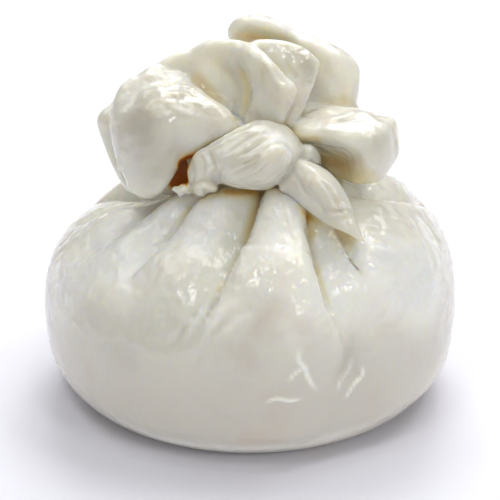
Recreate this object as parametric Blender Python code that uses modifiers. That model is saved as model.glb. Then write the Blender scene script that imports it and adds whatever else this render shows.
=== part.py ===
"""A burrata: a pouch of stretched curd, drawn in at its neck, with the gathered curd above the neck
spread in a ruffle of folds, and a strip of the same curd knotted round the neck.

Run it with  blender --background --python part.py  or from Blender's text editor.
Lengths in the tables are in millimetres. +Z is up, the pouch rests on z = 0, and the knot faces -Y.
Azimuths are in degrees round the neck: 0 is the front (-Y), 90 is the right-hand side (+X).
"""

import math

import bmesh
import bpy
import numpy as np

MM = 0.001

# Driving sizes of the pouch, in millimetres
POUCH_RADIUS = 40.0
DEPTH_RATIO = 0.93  # front to back over left to right
GIRTH_HEIGHT = 18.0  # the widest ring
FOOT_RADIUS = 29.5  # edge of the flat patch that it rests on
SHOULDER_HEIGHT = 40.0
NECK_RADIUS = 6.5
NECK_HEIGHT = 51.0
RIGHT_SHOULDER_LIFT = 2.8  # the filling has slumped a little to the right
TRIMMED_AT_FLOOR = 1.5  # curd below z = 0 that the floor plane cuts away, to leave the flat foot
TIE_GAP = 0.3  # clearance between the tie and the curd that it holds

# How full a fold's section and its ends are: 1 and 2 would give ellipses
SECTION_POWER = 0.8
END_FULLNESS = 4.0
LEAN_SIN = math.sin(math.radians(27.0))
LEAN_COS = math.cos(math.radians(27.0))
PLATE_SLACK = 0.15  # lets a fold's face pass this softly by its points

# Fineness of the solids
SKIN_VOXEL = 0.9
TIE_VOXEL = 0.6
SKIN_TRIANGLES = 6600
TIE_TRIANGLES = 2000

# The pouch's outline, from the middle of its foot to the flare of curd above its neck: (radius, height)
OUTLINE = [
    (0.0, -TRIMMED_AT_FLOOR),
    (16.0, -TRIMMED_AT_FLOOR),
    (FOOT_RADIUS - 1.0, -TRIMMED_AT_FLOOR),
    (33.0, 1.0),
    (35.8, 3.4),
    (39.0, 8.5),
    (POUCH_RADIUS, 15.0),
    (POUCH_RADIUS, 20.5),
    (39.2, 25.8),
    (36.4, 31.4),
    (29.5, 36.8),
    (20.0, SHOULDER_HEIGHT),
    (12.5, 43.0),
    (8.5, 46.5),
    (NECK_RADIUS, NECK_HEIGHT),
    (6.5, 54.0),
    (6.0, 56.0),
    (4.5, 57.5),
    (0.0, 58.0),
]

# Each pleat is a groove that leaves the neck and fades on its way down. Its course is a list of (azimuth,
# distance from the axis, depth). left and right are the widths of its flanks: the narrow one is the steep
# lip of the fold that lies over its neighbour.
PLEATS = [
    {
        "course": [(-60, 9, 3.0), (-70, 15, 3.0), (-70, 21, 2.8), (-68, 30, 2.2), (-74, 36, 0.0)],
        "left": 6.0,
        "right": 1.4,
    },
    {
        "course": [(-26, 9, 3.0), (-40, 14, 3.4), (-42, 20, 3.0), (-43, 27, 1.6), (-43, 33, 0.0)],
        "left": 5.0,
        "right": 1.4,
    },
    {
        "course": [(16, 9, 3.4), (6, 14, 4.4), (-1, 20, 4.4), (-7, 27, 3.6), (-11, 34, 2.2), (-16, 39, 0.0)],
        "left": 6.0,
        "right": 1.3,
    },
    {
        "course": [(48, 9, 3.0), (35, 17, 4.4), (28, 23, 4.8), (24, 30, 4.6), (24, 36, 3.4), (27, 40, 0.0)],
        "left": 1.3,
        "right": 6.0,
    },
    {
        "course": [(64, 9, 2.6), (48, 20, 2.6), (43, 25, 3.6), (40, 30, 3.0), (38, 35, 0.0)],
        "left": 4.0,
        "right": 1.4,
    },
    {
        "course": [(78, 9, 2.6), (66, 18, 2.4), (73, 25, 3.0), (84, 29, 2.6), (98, 34, 1.6), (106, 38, 0.0)],
        "left": 1.4,
        "right": 5.0,
    },
    {
        "course": [(112, 9, 2.8), (108, 18, 2.8), (112, 27, 2.2), (120, 36, 0.0)],
        "left": 1.6,
        "right": 5.0,
    },
    {
        "course": [(146, 9, 3.0), (140, 17, 3.8), (137, 26, 3.2), (140, 37, 0.0)],
        "left": 5.5,
        "right": 1.5,
    },
    {
        "course": [(176, 9, 3.0), (172, 16, 3.8), (176, 26, 3.4), (182, 38, 0.0)],
        "left": 1.4,
        "right": 6.0,
    },
    {
        "course": [(208, 9, 3.0), (212, 17, 3.6), (209, 27, 2.6), (205, 36, 0.0)],
        "left": 5.5,
        "right": 1.4,
    },
    {
        "course": [(240, 9, 2.8), (246, 18, 3.6), (243, 28, 2.8), (238, 38, 0.0)],
        "left": 1.5,
        "right": 5.5,
    },
    {
        "course": [(266, 9, 2.6), (268, 18, 2.8), (264, 27, 2.0), (262, 35, 0.0)],
        "left": 4.5,
        "right": 1.5,
    },
]

# The lip stands up by this share of its groove's depth, and sinks back over this many millimetres
LIP_SHARE = 0.45
LIP_REACH = 8.0

# Broad swellings of the skin: (azimuth, distance from the axis, spread, rise). A negative rise is a hollow.
SWELLINGS = [
    (-22, 29.0, 9.0, 1.6),
    (10, 31.0, 9.0, 2.0),
    (62, 30.0, 9.0, 1.8),
    (28, 44.0, 7.0, -1.4),
    (-58, 26.0, 7.0, 1.0),
    (125, 26.0, 9.0, 1.4),
    (160, 26.0, 8.0, 1.6),
    (195, 26.0, 8.0, 1.6),
    (228, 26.0, 8.0, 1.4),
]

# The folds of the ruffle that show at the front. Each is laid like a cloth, seen from where it faces: a place
# inside its edge, the roundness of its back, points round its edge with the edge's roundness, and points that its
# face passes through.
FOLDS = {
    "inner_lump": (
        (-5.4, -8.3, 56.7),
        2,
        [
            (-7.6, -8, 56.7, 0.8), (-7.1, -8, 57.7, 0.9), (-6, -8, 58.2, 1), (-4.7, -8, 57.9, 1),
            (-3.4, -8, 58, 1), (-3, -8.5, 57, 1), (-4.7, -9, 55.8, 1), (-6.5, -9, 55.6, 1),
        ],
        [
            (-6.3, -10, 58.1), (-4.8, -10.3, 57.8),
        ],
    ),
    "left_hood": (
        (-16, -2.7, 56.2),
        5,
        [
            (-20.4, -8, 43.3, 1.5), (-22.5, -7, 44.7, 1.5), (-24.2, -5, 47.3, 1.8),
            (-25.7, -3, 50.7, 2), (-26.6, -1, 56.9, 2.5), (-24.9, 1, 61.8, 2.5), (-23.4, 2, 63.2, 2.5),
            (-20.8, 4, 64, 2.5), (-18.6, 5, 65.1, 2), (-16.2, 7.5, 65, 2), (-14.1, 8, 65.4, 2),
            (-12, 6.5, 63.9, 2), (-10, 3, 62.5, 1.5), (-8.1, -2, 62, 1.2), (-4.1, -4.5, 60.3, 1.2),
            (-2.1, -6, 57.5, 1), (-2.6, -7, 56.7, 1.2), (-7.8, -8, 54.3, 1.5), (-10.1, -8, 52.2, 1.5),
            (-12, -8, 51.4, 1.5), (-13.1, -8.5, 51.2, 1.5), (-13.5, -9, 50, 1.5), (-16, -9, 45.6, 1.5),
            (-17.9, -8.5, 43.9, 1.5),
        ],
        [
            (-18.8, 1.5, 64), (-18.7, -3.2, 63), (-18.6, -7.2, 61.7), (-18.6, -11, 51.8),
            (-22.5, -1, 62.2), (-22.8, -8, 52.4), (-13.6, 3, 63.8), (-14.6, -3, 63.5),
            (-15.2, -11, 54.8), (-16.2, -10.5, 50.5), (-10.8, -9.5, 57.2), (-11.6, -9, 53.9),
            (-4.1, -7.5, 59.4),
        ],
    ),
    "crown": (
        (-6, 0.4, 62),
        3,
        [
            (-20.9, 6, 62.1, 2), (-18.6, 6.5, 64.3, 2), (-13.7, 7.5, 66.8, 2), (-11.4, 7.5, 67.3, 2),
            (-7.2, 7.5, 69.4, 2), (0.2, 5, 69.5, 1.8), (6.9, -2, 65.7, 1.6), (8.6, -4, 64.7, 1.8),
            (9, -4.5, 63.5, 2), (7.3, -5.5, 60.5, 2), (6.4, -6, 57.9, 1.5), (5.6, -6, 55, 1.5),
            (0.9, -6, 54, 1.5), (-2.6, -4, 53.7, 1.5), (-7.2, -1, 55.2, 2), (-12.3, 1, 58.7, 2),
            (-17.1, 4, 60.1, 2),
        ],
        [
            (-8.6, 5.5, 60.9), (-6.1, 6.5, 61.5), (-4.2, 6.5, 62.5), (-3.6, 5.8, 60.1),
            (-3.2, 3.8, 58.1), (-2.7, 1.5, 56.8), (-2.3, -1.5, 56.1), (-4.8, 3, 57.8),
            (-2.6, 3.5, 66.4), (-1.1, 1.8, 64.9), (-0.6, -1, 61), (-1.1, -2.5, 58.8), (-1.3, -4, 57.2),
            (0, 1.5, 69.5), (1.9, -2, 68.7), (3.7, -5, 67.6), (5.7, -7, 66), (7, -7.8, 64.6),
            (1.5, -1.5, 65.9), (2.8, -4, 64.3), (2.2, -5.5, 59.1), (4.6, -6.5, 63),
        ],
    ),
    "second_fold": (
        (7.5, 1.6, 65.2),
        2.5,
        [
            (0, 6, 69.1, 1.8), (3.8, 6.5, 69.8, 1.8), (9.1, 6, 68.9, 1.8), (12.6, 4, 67, 1.8),
            (13.1, 3.5, 65.6, 1.8), (11.3, -0.5, 61.2, 1.5), (9, -4, 57.8, 1.5), (7.7, -5, 56.6, 1.5),
            (5.3, -3, 56.1, 2), (2.8, 0, 59.1, 2), (0.9, 4, 63.6, 2),
        ],
        [
            (2.3, 4.5, 69.1), (5.6, 2.2, 67.4), (8.4, 0.5, 67.1), (6.6, 1, 65.5), (10.3, -1.5, 63.7),
            (8.6, -4.8, 60.2),
        ],
    ),
    "tall_fan": (
        (9.6, 8.4, 62.7),
        4,
        [
            (-4.2, 14, 67.2, 2), (-3.3, 14, 70.5, 2), (1.1, 14, 71.9, 2.2), (3.3, 13.5, 71.7, 2.2),
            (9.6, 12.5, 68.9, 2), (16.6, 10.5, 66.7, 2), (20.6, 8.5, 63.9, 2), (21, 8, 60, 1.8),
            (20.6, 7, 56.9, 1.8), (20.9, 6, 55, 2), (18.1, 3, 54.3, 2), (13.3, 1, 54.3, 2),
            (9.5, 0, 54.4, 2), (6.1, 3, 55.7, 2), (2.3, 8, 59.8, 2), (-1, 12, 64.9, 2),
        ],
        [
            (-1.9, 11, 70.7), (0.4, 10.5, 71.7), (2.9, 10, 71.3), (6.1, 9.5, 69.9), (9.5, 8.5, 68.6),
            (12.9, 7.5, 67.6), (16.1, 6.5, 66.4), (-1.9, 12.5, 68.2), (1, 12, 68.7), (3.4, 11.5, 68.4),
            (6.7, 10.5, 67.8), (13.7, 7.5, 64.7), (17.2, 6, 59.6), (13, 6, 58.6), (19.1, 5, 58.4),
            (18.1, 4, 56.3),
        ],
    ),
    "right_hood": (
        (17.9, -2.7, 53.1),
        5,
        [
            (10, -1, 57.3, 2), (13.3, 1, 58.1, 2), (18, 1.5, 58.2, 2.2), (22.3, 0.5, 57.7, 2),
            (24.6, 0, 57, 2), (26.7, -0.5, 56.9, 2), (27.8, -1, 55.9, 2), (28.1, -2, 54.4, 2.2),
            (28.3, -3, 51.2, 2.2), (27.6, -4, 49.5, 2.2), (25.3, -6, 46.9, 2), (23.8, -7, 46.2, 1.8),
            (21.6, -8, 46.4, 1.6), (19.2, -7.5, 46.4, 1.5), (15.8, -3, 46.1, 1.5),
            (13.9, -1, 46.9, 1.5), (13, 0, 48.7, 1.5), (11.4, -2, 51.3, 1.5), (9, -6, 54.2, 1.5),
            (7.7, -5, 56, 2), (8.7, -3, 57.4, 2),
        ],
        [
            (12.2, -3.5, 58), (17.8, -3, 58.6), (23.4, -5, 58.1), (25.9, -5, 57.4), (14, -8, 58),
            (11.2, -7.5, 55.5), (15.9, -8.5, 54.7), (18.2, -10, 54.8), (20.8, -11, 54.8),
            (26, -8.5, 52.3), (13.2, -4.5, 52.1), (14.4, -1.5, 49), (16.3, -2.5, 48.8),
            (17.9, -5, 49.6), (15.5, -3.5, 47.6), (18.8, -7.5, 50.1), (19.7, -8.5, 47.9),
            (20.9, -11, 51.8),
        ],
    ),
    "left_under_flap": (
        (-23.9, 1.8, 51),
        4,
        [
            (-25.2, 5, 58.4, 1.5), (-26.7, 4.5, 57.1, 1.5), (-28.2, 4, 56.3, 1.5),
            (-29.1, 3.5, 54.9, 1.8), (-29, 3, 53, 1.8), (-26.5, 0, 47, 1), (-24.1, -2, 42.9, 1),
            (-22.5, -3, 42.1, 1), (-21, -2, 42.3, 1.5), (-19.1, 1, 47.2, 2), (-17.2, 3, 52.6, 2),
            (-19.1, 5, 56.9, 2),
        ],
        [
            (-27.3, 1, 55.6), (-26.3, 0, 50.8), (-23.2, -1, 50.2),
        ],
    ),
}

# Curd that fills the heart of the ruffle and the hollows under its hoods, from root to rim. A row is a place along
# it: its edge on the left hand and on the right hand of someone going up it, seen from its outer side, then its
# bulge in front of the line between them and behind.
INNER_FOLDS = {
    "heart": [
        ((-6, 1, 50), (6, 1, 50), 4, 5),
        ((-12, 2, 56), (11, 2, 56), 5, 6),
        ((-11, 5, 62), (9, 6, 62), 4, 5),
        ((-5, 7, 65), (5, 8, 65), 3, 3),
    ],
    "left_lining": [
        ((-5, 4, 49), (-5, -4, 49), 4, 4),
        ((-13, 6, 51), (-12, -4, 50), 5, 5),
        ((-20, 6, 50), (-18, -3, 47), 4, 5),
        ((-23, 4, 46), (-21, -2, 45), 2, 3),
    ],
    "back_lining": [
        ((-1, 11, 49), (-9, 8, 49), 3, 3),
        ((-1.5, 15, 49), (-12, 11, 49), 4, 4),
        ((-2, 19, 48), (-14, 14, 48), 3, 4),
    ],
    "right_lining": [
        ((5, -6, 47), (5, 4, 49), 4, 4),
        ((12.5, -10, 46), (13, 6, 49.5), 4, 4),
        ((19, -9, 45.5), (20, 7, 48), 3.5, 4),
        ((24, -3, 45), (24, 7, 45.5), 2, 3),
    ],
}

# The hoods of curd that hang over at the back: azimuth, reach from the axis, height of the top, half width,
# height of the tip, and how far round the tip is swept, in degrees
BACK_HOODS = {
    "back_right_hood": (124, 24.5, 57.5, 8.0, 43.5, -10),
    "back_hood": (168, 27.0, 61.0, 10.5, 42.0, 8),
    "back_left_hood": (221, 26.5, 59.5, 9.5, 44.5, 14),
}

# The strip that ties the neck, made the same way. Its band runs round the neck at this height and distance.
BAND_HEIGHT = 50.0
BAND_DISTANCE = 10.5
BAND_HALF_WIDTH = 3.6
TIE_FOLDS = {
    "knot": (
        (-0.9, -10.3, 52.9),
        5,
        [
            (-11.6, -10, 50.9, 1.5), (-11.6, -11, 49.1, 1.5), (-11, -11.5, 47.5, 1.5),
            (-8, -12.5, 46.7, 1.5), (-6.9, -12.5, 47.5, 1.2), (-6.2, -12, 48.5, 1),
            (-1.5, -13, 47.8, 1.8), (4.1, -13, 48, 1.8), (8.9, -10.5, 52, 1.5), (10.1, -9, 53.1, 1.5),
            (9.9, -8, 54.5, 1.5), (7.6, -7.5, 57.5, 1.5), (5.6, -7.5, 58.6, 1.5),
            (0.7, -7.5, 59.2, 1.5), (-8.4, -9.5, 54.8, 1.2), (-10.2, -10, 53.8, 1.2),
        ],
        [
            (-9.8, -14, 50.5), (-7, -15, 52.2), (-4.1, -16.5, 51.9), (-0.9, -16, 56.8),
            (-0.4, -17, 51.3), (2.8, -17.5, 52.2), (5.5, -12, 58.8), (6.2, -16.5, 55.4),
        ],
    ),
    "tail": (
        (12.6, -16.1, 48.7),
        2.2,
        [
            (9.1, -11, 52.8, 1.6), (11.2, -11, 52.5, 1.8), (15.1, -12.5, 50.8, 2.2),
            (17.8, -15.5, 47.9, 2), (19.4, -18.5, 44.7, 1.6), (20.6, -21.5, 42.5, 0.8),
            (21.2, -22.5, 41.3, 0.7), (17.3, -21.5, 43.1, 1.2), (13.3, -18.5, 43.8, 1.8),
            (7.2, -15, 47.3, 1.8), (5.4, -14, 48.5, 1.4), (7.8, -12, 51.6, 1.2),
        ],
        [
            (8.5, -15.6, 49.6), (11.6, -16.2, 51.6), (16, -19.2, 47.9),
        ],
    ),
    "loop": (
        (11.4, -8, 52.6),
        2,
        [
            (9.9, -8, 54.3, 1.2), (10.8, -8, 54.7, 1.2), (12, -7.5, 54.1, 1.2), (12.9, -7, 52.6, 1.2),
            (13.3, -7, 51.4, 1.2), (13.1, -8, 50.6, 1.2), (11.6, -9, 51.3, 1.2),
            (10.1, -9.5, 52.1, 1.2),
        ],
        [
            (11, -10, 54), (11.9, -9.5, 52.7),
        ],
    ),
}


def curve_through(points, places):
    """A smooth curve (Catmull-Rom) through evenly spaced points, read at places from 0 to 1."""
    knots = np.asarray(points, float).reshape(len(points), -1)
    padded = np.vstack([2 * knots[0] - knots[1], knots, 2 * knots[-1] - knots[-2]])
    spans = len(knots) - 1
    along = np.clip(places, 0, 1) * spans
    first = np.minimum(along.astype(int), spans - 1)
    t = (along - first)[:, None]
    a, b, c, d = (padded[first + k] for k in range(4))
    return 0.5 * (2 * b + (c - a) * t + (2 * a - 5 * b + 4 * c - d) * t**2 + (3 * b - a - 3 * c + d) * t**3)


def unit(vectors):
    return vectors / np.maximum(np.linalg.norm(vectors, axis=-1, keepdims=True), 1e-9)


def sphere_places(bm, segments, rings):
    """Adds a sphere. Returns its vertices, each one's polar angle from the bottom and its longitude."""
    verts = bmesh.ops.create_uvsphere(bm, u_segments=segments, v_segments=rings, radius=1.0)["verts"]
    at = np.array([vert.co for vert in verts])
    return verts, np.arccos(np.clip(-at[:, 2], -1, 1)), np.arctan2(at[:, 1], at[:, 0])


def move_to(verts, positions):
    for vert, position in zip(verts, positions * MM):
        vert.co = position


def add_fold(bm, rows, segments=36, rings=32):
    """A closed, soft fold of curd through its rows of edges, with full sections and rounded ends."""
    verts, polar, around = sphere_places(bm, segments, rings)
    place = (1 - np.cos(polar)) / 2
    left = curve_through([row[0] for row in rows], place)
    right = curve_through([row[1] for row in rows], place)
    front = curve_through([row[2] for row in rows], place)[:, 0]
    back = curve_through([row[3] for row in rows], place)[:, 0]
    middles = [(np.asarray(row[0]) + row[1]) / 2 for row in rows]
    step = 1e-3
    tangent = unit(curve_through(middles, place + step) - curve_through(middles, place - step))
    across = (right - left) / 2
    outward = unit(np.cross(across, tangent))
    # A full section and full ends: rounder edges than an ellipse has
    taper = np.sqrt(np.maximum(1 - np.abs(np.cos(polar)) ** END_FULLNESS, 0))
    sideways = np.sign(np.cos(around)) * np.abs(np.cos(around)) ** SECTION_POWER
    through = np.sign(np.sin(around)) * np.abs(np.sin(around)) ** SECTION_POWER
    camber = (front - back) / 2 * (1 - sideways**2) * taper
    position = (left + right) / 2
    position += across * (taper * sideways)[:, None]
    position += outward * (camber + (front + back) / 2 * through * taper)[:, None]
    move_to(verts, position)


def seen(points):
    """Places as across, up and out towards the side that the folds face, which leans back from the front."""
    x, y, z = np.asarray(points, float)[:, :3].T
    return np.stack([x, y * LEAN_SIN + z * LEAN_COS, z * LEAN_SIN - y * LEAN_COS], axis=1)


def apart(points, others):
    return np.linalg.norm(points[:, None, :2] - others[None, :, :2], axis=2)


def bend(gaps):
    return gaps**2 * np.log(np.maximum(gaps, 1e-6))


def plate_through(knots, at):
    """How far out a thin plate bent through the knots lies at places across and up."""
    count = len(knots)
    flat = np.hstack([np.ones((count, 1)), knots[:, :2]])
    system = np.zeros((count + 3, count + 3))
    system[:count, :count] = bend(apart(knots, knots)) + np.eye(count) * PLATE_SLACK
    system[:count, count:] = flat
    system[count:, :count] = flat.T
    weights = np.linalg.solve(system, np.concatenate([knots[:, 2], np.zeros(3)]))
    return bend(apart(at, knots)) @ weights[:count] + np.hstack([np.ones((len(at), 1)), at]) @ weights[count:]


def add_laid_fold(bm, centre, backing, edge, form, segments=96, rings=56):
    """A fold with an edge drawn round it, whose face passes through the points of its form."""
    rims = np.array([point[3] for point in edge])
    outline = seen(edge)
    knots = np.vstack([outline + np.stack([rims * 0, rims * 0, rims], axis=1), seen(form)])
    verts, polar, longitude = sphere_places(bm, segments, rings)
    drawn = np.hstack([outline, rims[:, None]])
    drawn = np.vstack([drawn[-2:], drawn, drawn[:3]])
    spans = len(drawn) - 1
    nearest_rim = curve_through(drawn, (2 + (longitude % (2 * math.pi)) / (2 * math.pi) * len(edge)) / spans)
    whole_rim = curve_through(drawn, (2 + np.linspace(0, len(edge), 10 * len(edge))) / spans)
    middle = seen([centre])[0, :2]
    at = middle + (nearest_rim[:, :2] - middle) * np.sin(polar)[:, None]
    gaps = apart(at, whole_rim)
    inside = gaps.min(axis=1)
    rounding = whole_rim[gaps.argmin(axis=1), 3]
    front = rounding * np.sqrt(1 - (1 - np.clip(inside / rounding, 0, 1)) ** 2)
    back = -backing * np.sqrt(1 - (1 - np.clip(inside / backing, 0, 1)) ** 2)
    out = plate_through(knots, at) - rounding + np.where(polar > math.pi / 2, front, back)
    across, up = at.T
    move_to(verts, np.stack([across, up * LEAN_SIN - out * LEAN_COS, up * LEAN_COS + out * LEAN_SIN], axis=1))


def hood_rows(azimuth, reach, top, half_width, tip, sweep):
    """The rows of a hood of curd that rises from the neck, arches over and hangs down at an azimuth."""
    # share of the reach, height, share of the half width, bulge in front, bulge behind
    stations = [
        (0.12, NECK_HEIGHT + 2, 0.30, 2.2, 2.2),
        (0.40, top - 3.4, 0.75, 3.8, 4.0),
        (0.70, top - 3.8, 1.00, 5.0, 3.6),
        (0.84, 0.45 * top + 0.55 * tip, 1.00, 4.8, 5.0),
        (0.80, tip, 0.62, 3.0, 4.0),
    ]
    rows = []
    for step, (share, height, spread, front, back) in enumerate(stations):
        turn = math.radians(azimuth + sweep * step / (len(stations) - 1))
        out = np.array((math.sin(turn), -math.cos(turn) * DEPTH_RATIO, 0))
        right = np.array((math.cos(turn), math.sin(turn), 0))
        middle = out * reach * share + (0, 0, height)
        half = right * half_width * spread
        rows.append((middle - half, middle + half, front, back))
    return rows


def band_rows():
    """The rows of the band that runs round the back of the neck, from the knot's left to its right."""
    rows = []
    for azimuth in range(-36, -325, -36):
        turn = math.radians(azimuth)
        wave = 0.8 * math.sin(2 * turn)
        middle = np.array((math.sin(turn), -math.cos(turn), 0)) * BAND_DISTANCE + (0, 0, BAND_HEIGHT + wave)
        rows.append((middle - (0, 0, BAND_HALF_WIDTH), middle + (0, 0, BAND_HALF_WIDTH), 2.2, 2.2))
    return rows


def pouch_outline_at(polar):
    """The pouch's radius and height at a polar angle, and which way its skin faces there."""
    fine = curve_through(OUTLINE, np.linspace(0, 1, 600))
    length = np.concatenate([[0], np.cumsum(np.linalg.norm(np.diff(fine, axis=0), axis=1))])
    along = unit(np.gradient(fine, axis=0))
    wanted = polar / math.pi * length[-1]
    radius, height, along_r, along_z = (
        np.interp(wanted, length, column) for column in (fine[:, 0], fine[:, 1], along[:, 0], along[:, 1])
    )
    return radius, height, along_z, -along_r


def degrees_between(angle, other):
    return (angle - other + 180) % 360 - 180


def pleat_rise(azimuth, distance, radius):
    """How far the pleats and swellings lift the skin, in millimetres."""
    rise = np.zeros_like(radius)
    for pleat in PLEATS:
        course = np.asarray(pleat["course"], float)
        line = np.interp(distance, course[:, 1], course[:, 0])
        depth = np.interp(distance, course[:, 1], course[:, 2])
        away = np.radians(degrees_between(azimuth, line)) * radius
        narrowing = np.clip(radius / 22, 0.3, 1)
        flank = np.where(away < 0, pleat["left"], pleat["right"]) * narrowing
        groove = np.exp(-np.abs(away) / flank)
        lip_side = (away < 0) == (pleat["left"] < pleat["right"])
        lip = LIP_SHARE * (1 - groove) * np.exp(-np.abs(away) / (LIP_REACH * narrowing)) * lip_side
        rise += depth * narrowing**0.5 * (lip - groove)
    for angle, ring, spread, swell in SWELLINGS:
        away = np.radians(degrees_between(azimuth, angle)) * radius
        rise += swell * np.exp(-((away / spread) ** 2) - ((distance - ring) / spread) ** 2)
    return rise


def add_pouch(bm, segments=160, rings=110):
    """The pouch from its foot to the flare above its neck, with its pleats pressed in."""
    verts, polar, longitude = sphere_places(bm, segments, rings)
    azimuth = np.degrees(longitude)
    radius, height, outward, upward = pouch_outline_at(polar)
    # The distance from the axis goes on growing below the girth, so that a pleat passes each place once
    distance = np.where(height >= GIRTH_HEIGHT, radius, 2 * POUCH_RADIUS - radius)
    above_foot = np.clip((height - 2) / 6, 0, 1)
    below_band = np.clip((NECK_HEIGHT - height) / 3, 0, 1)
    rise = pleat_rise(azimuth, distance, radius) * above_foot * below_band
    radius = radius + rise * outward
    height = height + rise * upward
    turn = np.radians(azimuth)
    shoulder = np.clip((height - GIRTH_HEIGHT) / 20, 0, 1)
    height = height + RIGHT_SHOULDER_LIFT * shoulder * np.sin(turn) * np.clip(radius / 20, 0, 1)
    move_to(verts, np.stack([radius * np.sin(turn), -radius * np.cos(turn) * DEPTH_RATIO, height], axis=1))


def curd(name, colour, roughness):
    made = bpy.data.materials.new(name)
    made.use_nodes = True
    shader = made.node_tree.nodes["Principled BSDF"]
    shader.inputs["Base Color"].default_value = (*colour, 1.0)
    shader.inputs["Roughness"].default_value = roughness
    shader.inputs["Metallic"].default_value = 0.0
    return made


def object_from(bm, name, collection, finish=None):
    """Turns a bmesh into an object, with its faces pointing out."""
    bmesh.ops.recalc_face_normals(bm, faces=bm.faces)
    mesh = bpy.data.meshes.new(name)
    bm.to_mesh(mesh)
    bm.free()
    if finish:
        mesh.materials.append(finish)
    mesh.shade_smooth()
    made = bpy.data.objects.new(name, mesh)
    collection.objects.link(made)
    return made


def fuse(made, voxel, triangles, swell=0.0):
    """Joins an object's overlapping folds into one skin, and keeps its triangles few."""
    remesh = made.modifiers.new("one_skin", "REMESH")
    remesh.mode = "VOXEL"
    remesh.voxel_size = voxel * MM
    smooth = made.modifiers.new("soft_edges", "SMOOTH")
    smooth.iterations = 5
    if swell:
        swollen = made.modifiers.new("swollen", "DISPLACE")
        swollen.strength = swell * MM
        swollen.mid_level = 0.0
    graph = bpy.context.evaluated_depsgraph_get()
    quads = len(made.evaluated_get(graph).data.polygons)
    fewer = made.modifiers.new("fewer_triangles", "DECIMATE")
    fewer.ratio = min(1.0, triangles / (2 * quads))


def cut_away(made, cutter):
    cut = made.modifiers.new("less_" + cutter.name, "BOOLEAN")
    cut.operation = "DIFFERENCE"
    cut.object = cutter
    cutter.hide_render = True
    cutter.display_type = "WIRE"


def floor_block(collection):
    """A block whose top is the plane that the burrata rests on."""
    side = 3 * POUCH_RADIUS * MM
    depth = 10 * MM
    bm = bmesh.new()
    bmesh.ops.create_cube(bm, size=1.0)
    bmesh.ops.scale(bm, vec=(side, side, depth), verts=bm.verts)
    bmesh.ops.translate(bm, vec=(0, 0, -depth / 2), verts=bm.verts)
    return object_from(bm, "floor_block", collection)


def pouch_bmesh():
    bm = bmesh.new()
    add_pouch(bm)
    for fold in FOLDS.values():
        add_laid_fold(bm, *fold)
    for rows in INNER_FOLDS.values():
        add_fold(bm, rows)
    for hood in BACK_HOODS.values():
        add_fold(bm, hood_rows(*hood))
    return bm


def tie_bmesh():
    bm = bmesh.new()
    add_fold(bm, band_rows(), rings=48)
    for fold in TIE_FOLDS.values():
        add_laid_fold(bm, *fold)
    return bm


def main():
    for old in list(bpy.data.objects):
        bpy.data.objects.remove(old, do_unlink=True)
    burrata = bpy.data.collections.new("burrata")
    cutters = bpy.data.collections.new("cutters")
    bpy.context.scene.collection.children.link(burrata)
    bpy.context.scene.collection.children.link(cutters)

    pouch = object_from(pouch_bmesh(), "pouch", burrata, curd("curd_skin", (0.85, 0.83, 0.75), 0.35))
    fuse(pouch, SKIN_VOXEL, SKIN_TRIANGLES)
    tie = object_from(tie_bmesh(), "tie", burrata, curd("curd_strip", (0.86, 0.84, 0.77), 0.4))
    fuse(tie, TIE_VOXEL, TIE_TRIANGLES)
    clearance = object_from(tie_bmesh(), "tie_clearance", cutters)
    fuse(clearance, TIE_VOXEL, TIE_TRIANGLES, TIE_GAP)
    cut_away(pouch, floor_block(cutters))
    cut_away(pouch, clearance)


main()
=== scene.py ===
"""The looks of a burrata: wet, milk-white stretched curd, in folds and pleats, on a white studio floor.

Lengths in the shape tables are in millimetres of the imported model, and MM turns them into metres. +Z is up,
the pouch rests on z = 0, and the knot faces -Y. Azimuths are degrees round the neck, from the front to +X.
"""

import math

import bmesh
import bpy
import numpy as np
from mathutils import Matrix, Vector
from mathutils.bvhtree import BVHTree
from mathutils.kdtree import KDTree


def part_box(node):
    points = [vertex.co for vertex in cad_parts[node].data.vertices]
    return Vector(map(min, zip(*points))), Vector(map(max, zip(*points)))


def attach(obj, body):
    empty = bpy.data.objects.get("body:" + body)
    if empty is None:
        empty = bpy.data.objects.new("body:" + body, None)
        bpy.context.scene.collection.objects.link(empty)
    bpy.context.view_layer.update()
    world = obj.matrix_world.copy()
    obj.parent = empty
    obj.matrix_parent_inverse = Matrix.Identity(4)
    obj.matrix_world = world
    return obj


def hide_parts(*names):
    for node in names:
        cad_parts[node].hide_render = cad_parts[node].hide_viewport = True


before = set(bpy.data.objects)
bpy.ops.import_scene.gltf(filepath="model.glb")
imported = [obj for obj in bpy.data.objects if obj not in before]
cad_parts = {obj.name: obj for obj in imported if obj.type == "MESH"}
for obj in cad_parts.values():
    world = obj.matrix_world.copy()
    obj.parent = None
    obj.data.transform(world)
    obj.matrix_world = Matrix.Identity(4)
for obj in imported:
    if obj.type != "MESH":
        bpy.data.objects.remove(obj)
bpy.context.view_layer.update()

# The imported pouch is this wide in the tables' millimetres, which gives the length of one of them
TABLE_WIDTH = 80.2
pouch_low, pouch_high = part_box("pouch")
MM = (pouch_high[0] - pouch_low[0]) / TABLE_WIDTH
TOP = pouch_high[2] / MM

# The side of the burrata that is drawn is seen from the front, from this far above the level, in degrees
VIEW_ELEVATION = 27.0
AIM_SHARE = 0.394  # of the height

# ---------------- shape of the pouch

DEPTH_RATIO = 0.93  # front to back over left to right
GIRTH_HEIGHT = 18.0
GIRTH_RADIUS = 40.0
RIGHT_SHOULDER_LIFT = 2.8
NECK_HEIGHT = 51.0
NECK_RADIUS = 6.5

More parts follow.
